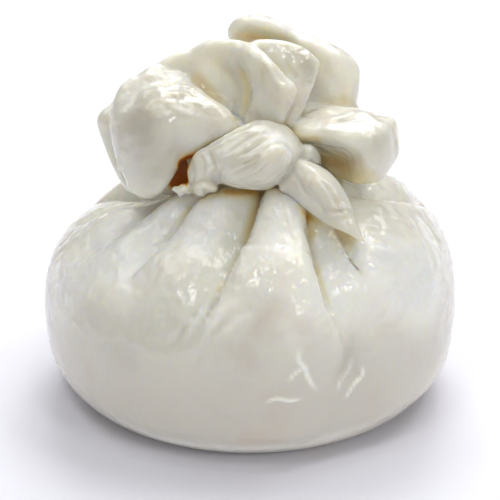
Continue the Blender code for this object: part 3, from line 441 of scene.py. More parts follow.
# Painted light and painted shade, and some real mottling of the belly: width, how much whiter or greyer, and
# the course
MOTTLES_AND_PAINTED_LIGHT = [
    # Painted light on the petals by the neck, and on the shoulders
    (3, 1, [(-5.4, 8.5), (-7.2, 5.4), (-9.1, 2.3), (-10.7, -0.4)]),
    (3, 0.8, [(4.3, 8.7), (4.9, 4.9), (5.4, 0.4)]),
    (3, 1, [(11.3, 5.4), (13.6, 1.9), (15.9, -1.6), (18.4, -5.4)]),
    (5, 1, [(-9.7, 8.5), (-13.6, 6.6), (-18.4, 2.7)]),
    (4, 1, [(-19.4, 8.4), (-25.2, 5.8), (-28.5, 2.5)]),
    (7, 0.8, [(-36.5, -1.9), (-35.7, -9.7)]),
    (8, 1, [(34, 0), (34, -9.7)]),
    # Patches and streaks of mottling on the belly, and painted light along its foot
    (4, -0.4, [(-27.6, -19.4), (-22.9, -21.8)]),
    (5, -0.25, [(-6.2, -17.9), (-0.8, -19.8), (-1.9, -23.3)]),
    (2.5, -0.7, [(19.4, -18.4), (18.8, -21.4), (17.7, -24.5)]),
    (4, -0.3, [(-13.6, -9.7), (-15.9, -13.2)]),
    (1.5, 0.6, [(-1.9, -9.7), (-5.8, -12), (-8.7, -15.5)]),
    (1.2, 0.6, [(1.2, -12), (-2.7, -14), (-5.4, -16.7)]),
    (2.5, 0.3, [(5.8, -14), (7.8, -17.5), (9.3, -19.8)]),
    # Painted light along the foot, where the bottom is lit brighter
    (2, 0.7, [
        (-28.4, -31.1), (-24.9, -33.4), (-20.2, -35.5), (-15.1, -37.1), (-8.7, -38.1), (-1, -38.6),
        (7.8, -38.1), (15.5, -36.5), (23.3, -33.8), (29.1, -30.3),
    ]),
    # Painted shade high on the right shoulder, painted light on the sides and front
    (4, -0.6, [(24.3, 7.8), (27.2, 6.4), (30.5, 4.7)]),
    (8, 0.9, [(-30.1, -2.3), (-23.3, 0), (-16.5, 1)]),
    (7, 0.5, [(-1.9, -2.3), (4.9, -3.5), (9.7, -7.8)]),
    (7, 1, [(17.5, -2.3), (24.3, -2.3), (31.1, -6.8)]),
    (6, 0.6, [(11.7, -9.7), (16.5, -11.7), (23.3, -13.6)]),
    (6, 0.4, [(-25.2, -9.7), (-17.5, -6.8)]),
    # Painted light and painted shade on the ruffle
    (3, 1, [(-8.7, 35), (-6.2, 33), (-3.9, 30.5)]),
    (4, 1, [(14.6, 36.5), (16.5, 34), (17.5, 31.1)]),
    (2, 0.7, [(-1, 44.3), (3.9, 43.9), (9.7, 42.7), (15.9, 39.6)]),
    (2.5, -1, [(7.8, 40), (10.5, 37.3), (11.7, 33.8)]),
    (2, -0.6, [(2.3, 37.3), (4.9, 34.2), (7, 30.7)]),
    (6, -0.75, [(-21.4, 23.7), (-19.4, 19.4), (-19, 14.6)]),
    (4, -0.5, [(24.9, 21.4), (25.2, 18.4)]),
    (4, -0.6, [(-21.4, 30.7), (-16.5, 29.5), (-11.7, 28.4)]),
    (3, -0.5, [(16.5, 25.6), (23.3, 25.2)]),
    (4, -0.7, [(-12, 32.6), (-8.9, 29.9), (-5.4, 27.6)]),
    (3, 0.7, [(16.3, 19.4), (18.6, 17.9), (19.8, 15.9)]),
    # Painted light and painted shade on the knot and the strip
    (2.5, 1, [(3.9, 22.3), (6.8, 20.4), (8.2, 18.1)]),
    (3, 1, [(16.3, 2.7), (17.9, 1.6), (19.4, -0.4)]),
    (3, -0.4, [(-2.9, 17.5), (0, 15.9), (2.3, 15.1)]),
]

# Fineness of the meshes
POUCH_SEGMENTS = 368
POUCH_RINGS = 236
RING_CROWDING = 0.8
FOLD_SEGMENTS = 120
FOLD_RINGS = 72
HOOD_SEGMENTS = 40
HOOD_RINGS = 48
RUFFLE_VOXEL = 0.42
TIE_VOXEL = 0.30
RUFFLE_SOFTENING = 6  # rounds of smoothing
TIE_SOFTENING = 5

# How a stroke is laid: its steps and its reach in its own widths, the share of its length over which it fades
# at each end, and how much is left of it there
STROKE_STEP = 0.4
STROKE_REACH = 3
STROKE_FADE = 0.25
STROKE_ENDS = 0.15

# ---------------- looks

MILK = "#E6E5DA"
BELLY_SHADE = "#D8D4C8"  # painted shade: greyer towards the bottom of the body
STRIP_MILK = "#DDDBCF"
BLUSH = "#D6CABB"  # the filling shows warm through the skin in patches
# Whiter for painted light and some mottling; greyer for painted shade and some mottling
MOTTLE_AND_PAINTED_LIGHT_WHITE = "#FAF8EF"
MOTTLE_AND_PAINTED_SHADE_GREY = "#C9C5B6"
# Painted shade of the crevices: colour, and the depths from where and to where it comes in
CREVICE_SHADE_COLOURS = [("#EADFB8", 0.2, 0.55), ("#D9A545", 0.5, 0.88), ("#A8560F", 0.86, 1.0)]
CREVICE_SHADE_SHARE = 0.6  # painted crevice shade grows by this share of the shut-off sky
HOLLOW_SHADE_SHELTER = 0.45  # drawn painted shade of the hollows takes hold fully from this share of closed sky
BELLY_TOP = 34.0
BELLY_BOTTOM = 14.0
BELLY_RELIEF = 0.35  # the stretched belly is smoother than the folds
PATCH_SIZE = 11.0
PATCHES = (0.5, 0.72, 0.0, 0.6)  # from and to which noise, and from and to which share
STRAND_WIDTH = 1.0
STRAND_LENGTH = 9.0
STRAND_RELIEF = 0.09
LUMP_SIZE = 5.0
LUMP_RELIEF = 0.8
DIMPLE_SIZE = 2.0
DIMPLE_RELIEF = 0.45
GRAIN_SIZE = 0.9
GRAIN_RELIEF = 0.03
FILM_SIZE = 5.0
FILM_GATHERS = (0.35, 0.65)  # from and to which noise
FILM_ROUGHNESS = (0.02, 0.22)
FILM_IOR = 1.5
FILM_IN_DEPTHS = (0.5, 0.85, 1.0, 0.15)  # from and to which depth, and from and to which weight
CURD_ROUGHNESS = 0.6
CURD_IOR = 1.36
SCATTER = 3.5  # how far light travels in the curd
SCATTER_COLOURS = (1.0, 0.85, 0.5)
CREVICE_REACH = 14.0
CREVICE_RAYS = 28
RAY_LIFT = 0.12
CREVICES_START = 20.0  # nothing below this height is folded

PAPER = "#F6F6FF"
PAPER_GRAIN = 1.5
SKY = "#FFFBF2"
SKY_STRENGTH = 0.12
FLOOR_REACH = 1.5
LAMP_AIM_SHARE = 0.45  # of the height
# The softboxes: name, azimuth, elevation, distance and size in metres, watts
SOFTBOXES = [
    ("key_softbox", 172, 60, 0.75, (0.5, 0.5), 2.2),
    ("back_softbox", 175, 42, 0.7, (0.4, 0.24), 1.6),
    ("right_softbox", 112, 58, 0.7, (0.26, 0.26), 0.9),
    ("left_softbox", -115, 54, 0.7, (0.3, 0.3), 0.6),
    ("front_softbox", 0, 45, 0.7, (0.6, 0.3), 0.3),
    ("front_card", 0, 12, 0.7, (0.8, 0.4), 0.85),
    ("left_neck_light", -30, 60, 0.7, (0.12, 0.12), 0.4),
    ("right_neck_light", 42, 30, 0.7, (0.12, 0.12), 0.4),
]
# Small bare lamps, at these azimuths and elevations, put the glints on the wet curd
GLINT_LAMPS = [(40, 76), (-60, 72), (168, 30), (85, 62)]
GLINT_LAMP_DISTANCE = 0.75
GLINT_LAMP_SIZE = (0.1, 0.1)
GLINT_LAMP_WATTS = 0.25

CAMERA_DISTANCE = 0.5
LENS = 185.4
SENSOR_WIDTH = 36.0


# ---------------- small helpers


def curve_through(points, places):
    """A smooth curve (Catmull-Rom) through evenly spaced points, read at places from 0 to 1."""
    knots = np.asarray(points, float).reshape(len(points), -1)
    padded = np.vstack([2 * knots[0] - knots[1], knots, 2 * knots[-1] - knots[-2]])
    spans = len(knots) - 1
    along = np.clip(places, 0, 1) * spans
    first = np.minimum(along.astype(int), spans - 1)
    t = (along - first)[:, None]
    a, b, c, d = (padded[first + k] for k in range(4))
    return 0.5 * (2 * b + (c - a) * t + (2 * a - 5 * b + 4 * c - d) * t**2 + (3 * b - a - 3 * c + d) * t**3)


def unit(vectors):
    return vectors / np.maximum(np.linalg.norm(vectors, axis=-1, keepdims=True), 1e-9)


def degrees_between(angle, other):
    return (angle - other + 180) % 360 - 180


def ball(bm, segments, rings):
    """Adds a sphere. Returns its vertices, each one's polar angle from the bottom and its longitude."""
    verts = bmesh.ops.create_uvsphere(bm, u_segments=segments, v_segments=rings, radius=1.0)["verts"]
    at = np.array([vert.co for vert in verts])
    return verts, np.arccos(np.clip(-at[:, 2], -1, 1)), np.arctan2(at[:, 1], at[:, 0])


def move_to(verts, positions):
    for vert, position in zip(verts, positions * MM):
        vert.co = position


def places_of(mesh):
    """A mesh's points, in the tables' millimetres."""
    at = np.empty(len(mesh.vertices) * 3)
    mesh.vertices.foreach_get("co", at)
    return at.reshape(-1, 3) / MM


def normals_of(mesh):
    facing = np.empty(len(mesh.vertices) * 3)
    mesh.vertices.foreach_get("normal", facing)
    return facing.reshape(-1, 3)


def push(mesh, rise):
    """Moves each point of a mesh along its normal by rise, in the tables' millimetres."""
    moved = places_of(mesh) + normals_of(mesh) * rise[:, None]
    mesh.vertices.foreach_set("co", (moved * MM).ravel())
    mesh.update()


def shown(mesh, name):
    mesh.shade_smooth()
    made = bpy.data.objects.new(name, mesh)
    bpy.context.scene.collection.objects.link(made)
    return made


# ---------------- the pouch


def pouch_outline_at(polar):
    """The pouch's radius and height at a polar angle, and which way its skin faces there."""
    fine = curve_through(OUTLINE, np.linspace(0, 1, 600))
    length = np.concatenate([[0], np.cumsum(np.linalg.norm(np.diff(fine, axis=0), axis=1))])
    along = unit(np.gradient(fine, axis=0))
    # The rings crowd towards the shoulders and the neck, where the pleats are
    share = (polar / math.pi) ** RING_CROWDING
    wanted = share * length[-1]
    radius, height, along_r, along_z = (
        np.interp(wanted, length, column) for column in (fine[:, 0], fine[:, 1], along[:, 0], along[:, 1])
    )
    return radius, height, along_z, -along_r, wanted


def pleat_rise(azimuth, distance, radius):
    rise = np.zeros_like(radius)
    for course, left, right in PLEATS:
        course = np.asarray(course, float)
        line = np.interp(distance, course[:, 1], course[:, 0])
        depth = np.interp(distance, course[:, 1], course[:, 2])
        away = np.radians(degrees_between(azimuth, line)) * radius
        narrowing = np.clip(radius / FULL_PLEAT_RADIUS, NECK_PLEAT_SHARE, 1)
        flank = np.where(away < 0, left, right) * narrowing
        groove = np.exp(-np.abs(away) / flank)
        lip_side = (away < 0) == (left < right)
        lip = LIP_SHARE * (1 - groove) * np.exp(-np.abs(away) / (LIP_REACH * narrowing)) * lip_side
        rise += depth * narrowing**0.5 * (lip - groove)
    for angle, ring, spread, swell in SWELLINGS:
        away = np.radians(degrees_between(azimuth, angle)) * radius
        rise += swell * np.exp(-((away / spread) ** 2) - ((distance - ring) / spread) ** 2)
    return rise


def pouch_mesh():
    """The pouch, and for each of its points where it is round and down the drawn skin."""
    bm = bmesh.new()
    verts, polar, longitude = ball(bm, POUCH_SEGMENTS, POUCH_RINGS)
    azimuth = np.degrees(longitude)
    radius, height, outward, upward, down = pouch_outline_at(polar)
    distance = np.where(height >= GIRTH_HEIGHT, radius, 2 * GIRTH_RADIUS - radius)
    above_foot = np.clip((height - FOOT_TOP) / FOOT_FADE, 0, 1)
    below_band = np.clip((NECK_HEIGHT - height) / BAND_FADE, 0, 1)
    turn = np.radians(azimuth)
    rise = pleat_rise(azimuth, distance, radius) * above_foot * below_band
    radius = radius + rise * outward
    height = height + rise * upward
    shoulder = np.clip((height - GIRTH_HEIGHT) / SHOULDER_LENGTH, 0, 1)
    lift = RIGHT_SHOULDER_LIFT * shoulder * np.sin(turn) * np.clip(radius / SHOULDER_LENGTH, 0, 1)
    height = height + lift
    height = np.maximum(height, 0.0)  # it rests on the floor
    move_to(verts, np.stack([radius * np.sin(turn), -radius * np.cos(turn) * DEPTH_RATIO, height], axis=1))
    bmesh.ops.recalc_face_normals(bm, faces=bm.faces)
    mesh = bpy.data.meshes.new("pouch_skin")
    bm.to_mesh(mesh)
    bm.free()
    drawn = np.stack([GIRTH_RADIUS * np.sin(turn), GIRTH_RADIUS * np.cos(turn), down], axis=1)
    return mesh, drawn


# ---------------- the folds


def fold_positions(rows, polar, around):
    """Where a fold's points lie: full sections through its rows of edges, with rounded ends."""
    place = (1 - np.cos(polar)) / 2
    left = curve_through([row[0] for row in rows], place)
    right = curve_through([row[1] for row in rows], place)
    front = curve_through([row[2] for row in rows], place)[:, 0]
    back = curve_through([row[3] for row in rows], place)[:, 0]
    middles = [(np.asarray(row[0]) + row[1]) / 2 for row in rows]
    step = 1e-3
    tangent = unit(curve_through(middles, place + step) - curve_through(middles, place - step))
    across = (right - left) / 2
    outward = unit(np.cross(across, tangent))
    taper = np.sqrt(np.maximum(1 - np.abs(np.cos(polar)) ** END_FULLNESS, 0))
    sideways = np.sign(np.cos(around)) * np.abs(np.cos(around)) ** SECTION_POWER
    through = np.sign(np.sin(around)) * np.abs(np.sin(around)) ** SECTION_POWER
    camber = (front - back) / 2 * (1 - sideways**2) * taper
    position = (left + right) / 2
    position += across * (taper * sideways)[:, None]
    position += outward * (camber + (front + back) / 2 * through * taper)[:, None]
    length = np.linalg.norm(np.diff(middles, axis=0), axis=1).sum()
    strands = np.stack([sideways * np.linalg.norm(across, axis=1), through * 3, place * length], axis=1)
    return position, strands


def hood_rows(azimuth, reach, top, half_width, tip, sweep):
    """The rows of a hood of curd that rises from the neck, arches over and hangs down at an azimuth."""
    # share of the reach, height, share of the half width, bulge in front, bulge behind
    stations = [
        (0.12, NECK_HEIGHT + 2, 0.30, 2.2, 2.2),
        (0.40, top - 3.4, 0.75, 3.8, 4.0),
        (0.70, top - 3.8, 1.00, 5.0, 3.6),
        (0.84, 0.45 * top + 0.55 * tip, 1.00, 4.8, 5.0),
        (0.80, tip, 0.62, 3.0, 4.0),
    ]
    rows = []
    for step, (share, height, spread, front, back) in enumerate(stations):
        turn = math.radians(azimuth + sweep * step / (len(stations) - 1))
        out = np.array((math.sin(turn), -math.cos(turn) * DEPTH_RATIO, 0))
        right = np.array((math.cos(turn), math.sin(turn), 0))
        middle = out * reach * share + (0, 0, height)
        half = right * half_width * spread
        rows.append((middle - half, middle + half, front, back))
    return rows


def band_rows():
    """The rows of the band that runs round the back of the neck, from the knot's left to its right."""
    rows = []
    for azimuth in range(-36, -325, -36):
        turn = math.radians(azimuth)
        wave = BAND_WAVE * math.sin(2 * turn)
        middle = np.array((math.sin(turn), -math.cos(turn), 0)) * BAND_DISTANCE + (0, 0, BAND_HEIGHT + wave)
        half = np.array((0, 0, BAND_HALF_WIDTH))
        rows.append((middle - half, middle + half, BAND_BULGE, BAND_BULGE))
    return rows


def laid_fold(centre, backing, edge, form):
    """A fold with an edge drawn round it, whose front face passes through the points of its form."""

    def seen(points):
        """Places as across, up and out towards the side that the folds face."""
        x, y, z = np.asarray(points, float)[:, :3].T
        return np.stack([x, y * LEAN_SIN + z * LEAN_COS, z * LEAN_SIN - y * LEAN_COS], axis=1)

    def bend(apart):
        return apart**2 * np.log(np.maximum(apart, 1e-6))

    def apart(points, others):
        return np.linalg.norm(points[:, None, :2] - others[None, :, :2], axis=2)

    # The face: a thin plate bent through the form, and through the edge moved out by its rounding
    rims = np.array([point[3] for point in edge])
    outline, inner = seen(edge), seen(form)
    knots = np.vstack([outline + np.stack([rims * 0, rims * 0, rims], axis=1), inner])
    count = len(knots)
    flat = np.hstack([np.ones((count, 1)), knots[:, :2]])
    system = np.zeros((count + 3, count + 3))
    system[:count, :count] = bend(apart(knots, knots)) + np.eye(count) * PLATE_SLACK
    system[:count, count:] = flat
    system[count:, :count] = flat.T
    weights = np.linalg.solve(system, np.concatenate([knots[:, 2], np.zeros(3)]))

    bm = bmesh.new()
    verts, polar, longitude = ball(bm, FOLD_SEGMENTS, FOLD_RINGS)
    drawn = np.hstack([outline, rims[:, None]])
    drawn = np.vstack([drawn[-2:], drawn, drawn[:3]])
    spans = len(drawn) - 1
    places = (2 + (longitude % (2 * math.pi)) / (2 * math.pi) * len(edge)) / spans
    rim_points = curve_through(drawn, places)
    whole = curve_through(drawn, (2 + np.linspace(0, len(edge), 10 * len(edge))) / spans)
    middle = seen([centre])[0]
    at = middle[:2] + (rim_points[:, :2] - middle[:2]) * np.sin(polar)[:, None]
    face = bend(apart(at, knots)) @ weights[:count] + np.hstack([np.ones((len(at), 1)), at]) @ weights[count:]
    gaps = apart(at, whole)
    inside = gaps.min(axis=1)
    rounding = whole[gaps.argmin(axis=1), 3]
    rounded = np.sqrt(1 - (1 - np.clip(inside / rounding, 0, 1)) ** 2)
    backed = np.sqrt(1 - (1 - np.clip(inside / backing, 0, 1)) ** 2)
    out = face - rounding + np.where(polar > math.pi / 2, rounding * rounded, -backing * backed)
    position = np.stack(
        [at[:, 0], at[:, 1] * LEAN_SIN - out * LEAN_COS, at[:, 1] * LEAN_COS + out * LEAN_SIN], axis=1
    )
    move_to(verts, position)
    return bm, position


def radiating(position):
    """Where points are along curd pulled out from the neck: two places across the strands and one along."""
    from_neck = position - (0, 0, NECK_HEIGHT)
    length = np.linalg.norm(from_neck, axis=1)
    aim = unit(from_neck) * RADIATING_WIDTH
    return np.stack([aim[:, 0] + aim[:, 1], aim[:, 2], length], axis=1)


def straight(position, angle):
    """The same for curd pulled straight, at an angle to the level seen from the front."""
    turn = math.radians(angle)
    x, y, z = position.T
    across = z * math.cos(turn) - x * math.sin(turn)
    along = x * math.cos(turn) + z * math.sin(turn)
    return np.stack([across, y, along], axis=1)


def fused_folds(name, laid, round_folds, voxel, softening):
    """One skin round overlapping folds, and for each of its points where it is along the pulled curd."""
    bm = bmesh.new()
    samples = []
    strands = []
    for number, (fold, pull) in enumerate(laid):
        one, position = laid_fold(*fold)
        piece = bpy.data.meshes.new("fold")
        one.to_mesh(piece)
        one.free()
        bm.from_mesh(piece)
        bpy.data.meshes.remove(piece)
        samples.append(position)
        strand = radiating(position) if pull is None else straight(position, pull)
        strands.append(strand + (STRAND_SHIFT * number, 0, 0))
    for number, rows in enumerate(round_folds):
        verts, polar, around = ball(bm, HOOD_SEGMENTS, HOOD_RINGS)
        position, strand = fold_positions(rows, polar, around)
        move_to(verts, position)
        samples.append(position)
        strands.append(strand + (0, STRAND_SHIFT * number, 0))
    bmesh.ops.recalc_face_normals(bm, faces=bm.faces)
    rough = bpy.data.meshes.new(name + "_folds")
    bm.to_mesh(rough)
    bm.free()
    form = bpy.data.objects.new(name + "_folds", rough)
    bpy.context.scene.collection.objects.link(form)
    remesh = form.modifiers.new("one_skin", "REMESH")
    remesh.mode = "VOXEL"
    remesh.voxel_size = voxel * MM
    smooth = form.modifiers.new("soft_edges", "SMOOTH")
    smooth.iterations = softening
    graph = bpy.context.evaluated_depsgraph_get()
    mesh = bpy.data.meshes.new_from_object(form.evaluated_get(graph))
    mesh.name = name
    bpy.data.objects.remove(form, do_unlink=True)
    samples = np.vstack(samples)
    strands = np.vstack(strands)
    tree = KDTree(len(samples))
    for index, sample in enumerate(samples):
        tree.insert(sample, index)
    tree.balance()
    nearest = [tree.find(place)[1] for place in places_of(mesh)]
    return mesh, strands[nearest]


# ---------------- wrinkles


def tree_of(mesh, places):
    return BVHTree.FromPolygons(places, [face.vertices for face in mesh.polygons])


def drawn_on(meshes, strokes):
    """For each mesh, the sum at its points of strokes laid as seen from the shown side."""
    eye = camera_place() / MM
    aim = Vector((0, 0, AIM_SHARE * TOP))
    out = (eye - aim).normalized()
    across = Vector((0, 0, 1)).cross(out).normalized()
    up = out.cross(across)
    places = [places_of(mesh) for mesh in meshes]
    facing = [normals_of(mesh) for mesh in meshes]
    trees = [tree_of(mesh, at.tolist()) for mesh, at in zip(meshes, places)]
    totals = [np.zeros(len(at)) for at in places]
    for width, amount, points in strokes:
        marks = [np.zeros(len(at)) for at in places]
        length = sum(math.dist(a, b) for a, b in zip(points, points[1:]))
        shares = np.linspace(0, 1, max(6, int(length / (STROKE_STEP * width))))
        for share, (a, u) in zip(shares, curve_through(points, shares)):
            ray = (aim + across * a + up * u - eye).normalized()
            hits = [tree.ray_cast(eye, ray) for tree in trees]
            near = [math.inf if hit[0] is None else hit[3] for hit in hits]
            which = int(np.argmin(near))
            if near[which] == math.inf:
                continue
            offset = places[which] - np.array(hits[which][0])
            close = np.nonzero((np.abs(offset) < STROKE_REACH * width).all(axis=1))[0]
            faded = min(1.0, min(share, 1 - share) / STROKE_FADE + STROKE_ENDS)
            mark = faded * np.exp(-(np.linalg.norm(offset[close], axis=1) / width) ** 2)
            mark *= facing[which][close] @ np.array(hits[which][1]) > 0.1  # not on the skin's far side
            marks[which][close] = np.maximum(marks[which][close], mark)
        for total, mark in zip(totals, marks):
            total += amount * mark
    return totals


# ---------------- materials


def linear(hex_colour):
    """An sRGB hex colour as linear red, green, blue and alpha."""
    values = [int(hex_colour[k : k + 2], 16) / 255 for k in (1, 3, 5)]
    return (*(v / 12.92 if v <= 0.04045 else ((v + 0.055) / 1.055) ** 2.4 for v in values), 1.0)


def add_node(tree, kind, inputs=(), **settings):
    """Adds a node with its settings, and sets or links its inputs."""
    made = tree.nodes.new(kind)
    for name, value in settings.items():
        setattr(made, name, value)
    for name, value in dict(inputs).items():
        if isinstance(value, bpy.types.NodeSocket):
            tree.links.new(value, made.inputs[name])
        else:
            made.inputs[name].default_value = value
    return made


def curd_material(name, milk):
    """Stretched curd, milk-white and translucent under a film of whey, with painted shade in its folds: the
    colour goes straw, then amber, then brown where curd shuts off the sky and where crease shade is drawn."""
    made = bpy.data.materials.new(name)
    made.use_nodes = True
    tree = made.node_tree
    shader = tree.nodes["Principled BSDF"]
    depth = add_node(tree, "ShaderNodeAttribute", attribute_name="depth").outputs["Fac"]
    mottle_and_painted_light = add_node(tree, "ShaderNodeAttribute", attribute_name="mottle_and_painted_light").outputs["Fac"]
    strand = add_node(tree, "ShaderNodeAttribute", attribute_name="strand").outputs["Vector"]
    body = add_node(tree, "ShaderNodeTexCoord").outputs["Object"]

    def cloud(size, detail):
        settings = {"Vector": body, "Scale": 1 / (size * MM), "Detail": detail}
        return add_node(tree, "ShaderNodeTexNoise", settings).outputs["Fac"]

    def ramp(value, start, end, low, high):
        spans = {"Value": value, "From Min": start, "From Max": end, "To Min": low, "To Max": high}
        return add_node(tree, "ShaderNodeMapRange", spans, interpolation_type="SMOOTHSTEP").outputs["Result"]

    def mixed(share, first, second):
        inputs = {"Fac": share, "Color1": first, "Color2": second}
        return add_node(tree, "ShaderNodeMixRGB", inputs).outputs["Color"]

    # Colour: painted shade greying the lower belly, warm patches where the filling shows, mottling with
    # painted light and painted shade, and painted shade in the crevices, straw to brown by depth
    height = add_node(tree, "ShaderNodeSeparateXYZ", {"Vector": body}).outputs["Z"]
    # Painted shade: the colour greys towards the bottom
    belly_shade_share = ramp(height, BELLY_TOP * MM, BELLY_BOTTOM * MM, 0.0, 1.0)
    colour = mixed(belly_shade_share, linear(milk), linear(BELLY_SHADE))
    colour = mixed(ramp(cloud(PATCH_SIZE, 3.0), *PATCHES), colour, linear(BLUSH))
    # Drawn marks whiten for painted light and grey for painted shade, and also mottle the belly
    colour = mixed(ramp(mottle_and_painted_light, 0.0, 1.0, 0.0, 1.0), colour, linear(MOTTLE_AND_PAINTED_LIGHT_WHITE))
    colour = mixed(ramp(mottle_and_painted_light, 0.0, -1.0, 0.0, 1.0), colour, linear(MOTTLE_AND_PAINTED_SHADE_GREY))
    # Painted shade in the crevices: straw, then amber, then brown as the depth mask grows
    for shade_tint, start, end in CREVICE_SHADE_COLOURS:
        colour = mixed(ramp(depth, start, end, 0.0, 1.0), colour, linear(shade_tint))

    # Relief: strands along the pull, lumps, dimples that break up the gloss, and a fine grain
    strength = ramp(height, BELLY_BOTTOM * MM, BELLY_TOP * MM, BELLY_RELIEF, 1.0)
    stretched = add_node(tree, "ShaderNodeVectorMath", operation="MULTIPLY")
    tree.links.new(strand, stretched.inputs[0])
    stretched.inputs[1].default_value = (1 / STRAND_WIDTH, 1 / STRAND_WIDTH, 1 / STRAND_LENGTH)
    settings = {"Vector": stretched.outputs[0], "Scale": 1.0, "Detail": 3.0}
    strands = add_node(tree, "ShaderNodeTexNoise", settings)
    bump = {"Height": strands.outputs["Fac"], "Distance": STRAND_RELIEF * MM, "Strength": strength}
    relief = add_node(tree, "ShaderNodeBump", bump).outputs[0]
    for size, rise in ((LUMP_SIZE, LUMP_RELIEF), (DIMPLE_SIZE, DIMPLE_RELIEF), (GRAIN_SIZE, GRAIN_RELIEF)):
        bump = {"Height": cloud(size, 0.5), "Distance": rise * MM, "Strength": strength, "Normal": relief}
        relief = add_node(tree, "ShaderNodeBump", bump).outputs[0]
    # The film of whey lies smoothest where it has gathered
    film = ramp(cloud(FILM_SIZE, 3.0), *FILM_GATHERS, *FILM_ROUGHNESS)

    tree.links.new(colour, shader.inputs["Base Color"])
    tree.links.new(relief, shader.inputs["Normal"])
    tree.links.new(relief, shader.inputs["Coat Normal"])
    tree.links.new(film, shader.inputs["Coat Roughness"])
    tree.links.new(ramp(depth, *FILM_IN_DEPTHS), shader.inputs["Coat Weight"])
    shader.inputs["Roughness"].default_value = CURD_ROUGHNESS
    shader.inputs["IOR"].default_value = CURD_IOR
    shader.inputs["Subsurface Weight"].default_value = 1.0
    shader.inputs["Subsurface Radius"].default_value = SCATTER_COLOURS
    shader.inputs["Subsurface Scale"].default_value = SCATTER * MM
    shader.inputs["Coat IOR"].default_value = FILM_IOR
    return made


def floor_material():
    """Matt white studio paper: no gloss, so the shadow alone shows on it."""
    made = bpy.data.materials.new("white_studio_paper")
    made.use_nodes = True
    tree = made.node_tree
    shader = tree.nodes["Principled BSDF"]
    body = add_node(tree, "ShaderNodeTexCoord").outputs["Object"]
    settings = {"Vector": body, "Scale": 1 / (PAPER_GRAIN * MM), "Detail": 2.0}
    grain = add_node(tree, "ShaderNodeTexNoise", settings)
    spans = {"Value": grain.outputs["Fac"], "To Min": 0.85, "To Max": 0.95}
    roughness = add_node(tree, "ShaderNodeMapRange", spans).outputs["Result"]
    tree.links.new(roughness, shader.inputs["Roughness"])
    shader.inputs["Base Color"].default_value = linear(PAPER)
    shader.inputs["Specular IOR Level"].default_value = 0.0
    return made


# ---------------- crevices


def crevice_depths(meshes):
    """For each mesh, how much of the sky over its points is shut off by curd close by, from 0 to 1."""
    rays = CREVICE_RAYS
    turns = np.arange(rays) * math.pi * (3 - math.sqrt(5))
    rim = np.sqrt((np.arange(rays) + 0.5) / rays)
    fan = np.stack([rim * np.cos(turns), rim * np.sin(turns), np.sqrt(1 - rim**2)], axis=1)
    trees = [tree_of(mesh, [vert.co for vert in mesh.vertices]) for mesh in meshes]
    reach = CREVICE_REACH * MM
    depths = []
    for mesh in meshes:
        places = places_of(mesh) * MM
        facing = normals_of(mesh)
        side = unit(np.cross(facing, np.where(np.abs(facing[:, 2:]) < 0.9, (0, 0, 1.0), (1.0, 0, 0))))
        other = np.cross(facing, side)
        shut = np.zeros(len(places))
        high = np.nonzero(places[:, 2] > CREVICES_START * MM)[0]
        for index in high:
            start = Vector(places[index] + facing[index] * RAY_LIFT * MM)
            toward = fan @ np.stack([side[index], other[index], facing[index]])
            total = 0.0
            for ray in toward.tolist():
                nearest = reach
                for tree in trees:
                    hit = tree.ray_cast(start, ray, nearest)[3]
                    if hit is not None:
                        nearest = hit
                total += 1 - (nearest / reach)
            shut[index] = total / rays
        depths.append(shut)
    return depths


def set_attribute(mesh, name, kind, values):
    attribute = mesh.attributes.new(name, kind, "POINT")
    field = "vector" if kind == "FLOAT_VECTOR" else "value"
    attribute.data.foreach_set(field, np.asarray(values, float).ravel())


# ---------------- light, floor and camera


def direction(azimuth, elevation):
    """The unit direction towards an azimuth, counted as the pleats' are, and an elevation, in degrees."""
    turn, rise = math.radians(azimuth), math.radians(elevation)
    return Vector((math.sin(turn) * math.cos(rise), -math.cos(turn) * math.cos(rise), math.sin(rise)))


def camera_aim():
    return Vector((0, 0, AIM_SHARE * TOP * MM))


def camera_place():
    return camera_aim() + direction(0, VIEW_ELEVATION) * CAMERA_DISTANCE


def turned_to(made, aim):
    """Points a lamp or a camera at its aim."""
    made.rotation_euler = (aim - made.location).to_track_quat("-Z", "Y").to_euler()


def softbox(name, azimuth, elevation, away, size, watts):
    lamp = bpy.data.lights.new(name, "AREA")
    lamp.shape = "RECTANGLE"
    lamp.size, lamp.size_y = size
    lamp.energy = watts
    made = bpy.data.objects.new(name, lamp)
    aim = Vector((0, 0, LAMP_AIM_SHARE * TOP * MM))
    made.location = aim + direction(azimuth, elevation) * away
    turned_to(made, aim)
    bpy.context.scene.collection.objects.link(made)


def studio():
    bm = bmesh.new()
    bmesh.ops.create_grid(bm, x_segments=8, y_segments=8, size=FLOOR_REACH)
    mesh = bpy.data.meshes.new("floor")
    bm.to_mesh(mesh)
    bm.free()
    floor = shown(mesh, "floor")
    mesh.materials.append(floor_material())
    sky = bpy.data.worlds.new("studio")
    sky.use_nodes = True
    sky.node_tree.nodes["Background"].inputs["Color"].default_value = linear(SKY)
    sky.node_tree.nodes["Background"].inputs["Strength"].default_value = SKY_STRENGTH
    bpy.context.scene.world = sky
    for light in SOFTBOXES:
        softbox(*light)
    for number, toward in enumerate(GLINT_LAMPS):
        softbox(f"glint_lamp_{number}", *toward, GLINT_LAMP_DISTANCE, GLINT_LAMP_SIZE, GLINT_LAMP_WATTS)
    bpy.context.scene.view_settings.view_transform = "Standard"


def camera():
    lens = bpy.data.cameras.new("camera")
    lens.sensor_width = SENSOR_WIDTH
    lens.lens = LENS
    lens.clip_start = 0.01
    made = bpy.data.objects.new("camera", lens)
    made.location = camera_place()
    turned_to(made, camera_aim())
    bpy.context.scene.collection.objects.link(made)
    bpy.context.scene.camera = made


# ---------------- the burrata


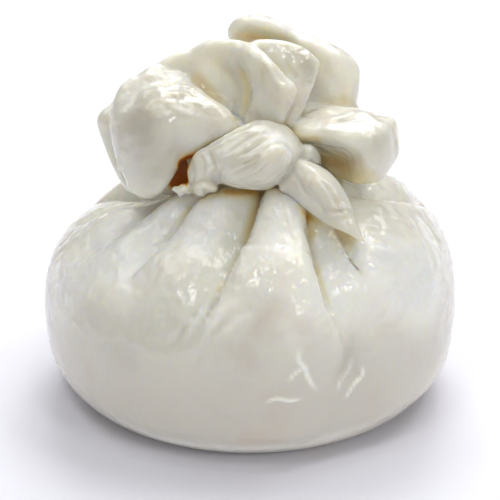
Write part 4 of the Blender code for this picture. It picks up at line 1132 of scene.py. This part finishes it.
def main():
    skin, skin_strands = pouch_mesh()
    hoods = [hood_rows(*hood) for hood in BACK_HOODS.values()] + list(LININGS.values())
    laid = [(fold, None) for fold in FOLDS.values()]
    ruffle, ruffle_strands = fused_folds("ruffle", laid, hoods, RUFFLE_VOXEL, RUFFLE_SOFTENING)
    laid = [(fold, TIE_PULLS[name]) for name, fold in TIE_FOLDS.items()]
    tie, tie_strands = fused_folds("tie_strip", laid, [band_rows()], TIE_VOXEL, TIE_SOFTENING)
    meshes = [skin, ruffle, tie]
    raised_edges = [(width, rise, course) for width, rise, _, course in FILM_EDGES]
    # The whitening of the film edges is a painted highlight
    painted_highlight_edges = [(width, mottle_and_painted_light, course) for width, _, mottle_and_painted_light, course in FILM_EDGES]
    for mesh, rise in zip(meshes, drawn_on(meshes, STROKES + raised_edges)):
        push(mesh, rise)
    crease_shades = drawn_on(meshes, CREASE_SHADE_STROKES)
    hollows = drawn_on(meshes, HOLLOW_SHADE_STROKES)
    mottles_and_painted_light = drawn_on(meshes, MOTTLES_AND_PAINTED_LIGHT + painted_highlight_edges)
    depths = crevice_depths(meshes)
    all_strands = (skin_strands, ruffle_strands, tie_strands)
    for mesh, strand, depth, shade_tint, hollow_shade, mottle_and_painted_light in zip(meshes, all_strands, depths, crease_shades, hollows, mottles_and_painted_light):
        # The depth mask is painted crevice shade: shut-off sky plus the drawn crease and hollow shade
        held = np.clip(depth / HOLLOW_SHADE_SHELTER, 0, 1) ** 2
        set_attribute(mesh, "strand", "FLOAT_VECTOR", strand)
        set_attribute(mesh, "depth", "FLOAT", np.clip(depth * CREVICE_SHADE_SHARE + shade_tint + hollow_shade * held, 0, 1))
        # The tone mask carries painted light and painted shade, and the belly's mottling
        set_attribute(mesh, "mottle_and_painted_light", "FLOAT", np.clip(mottle_and_painted_light, -1, 1))
    wet_skin = curd_material("wet_stretched_curd", MILK)
    wet_strip = curd_material("wet_pulled_curd_strip", STRIP_MILK)
    for mesh, finish, slot, node in (
        (skin, wet_skin, "curd_skin", "pouch"),
        (ruffle, wet_skin, "curd_skin", "pouch"),
        (tie, wet_strip, "curd_strip", "tie"),
    ):
        mesh.materials.append(finish)
        piece = shown(mesh, mesh.name)
        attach(piece, "root")
        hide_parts(node)


main()
studio()
camera()
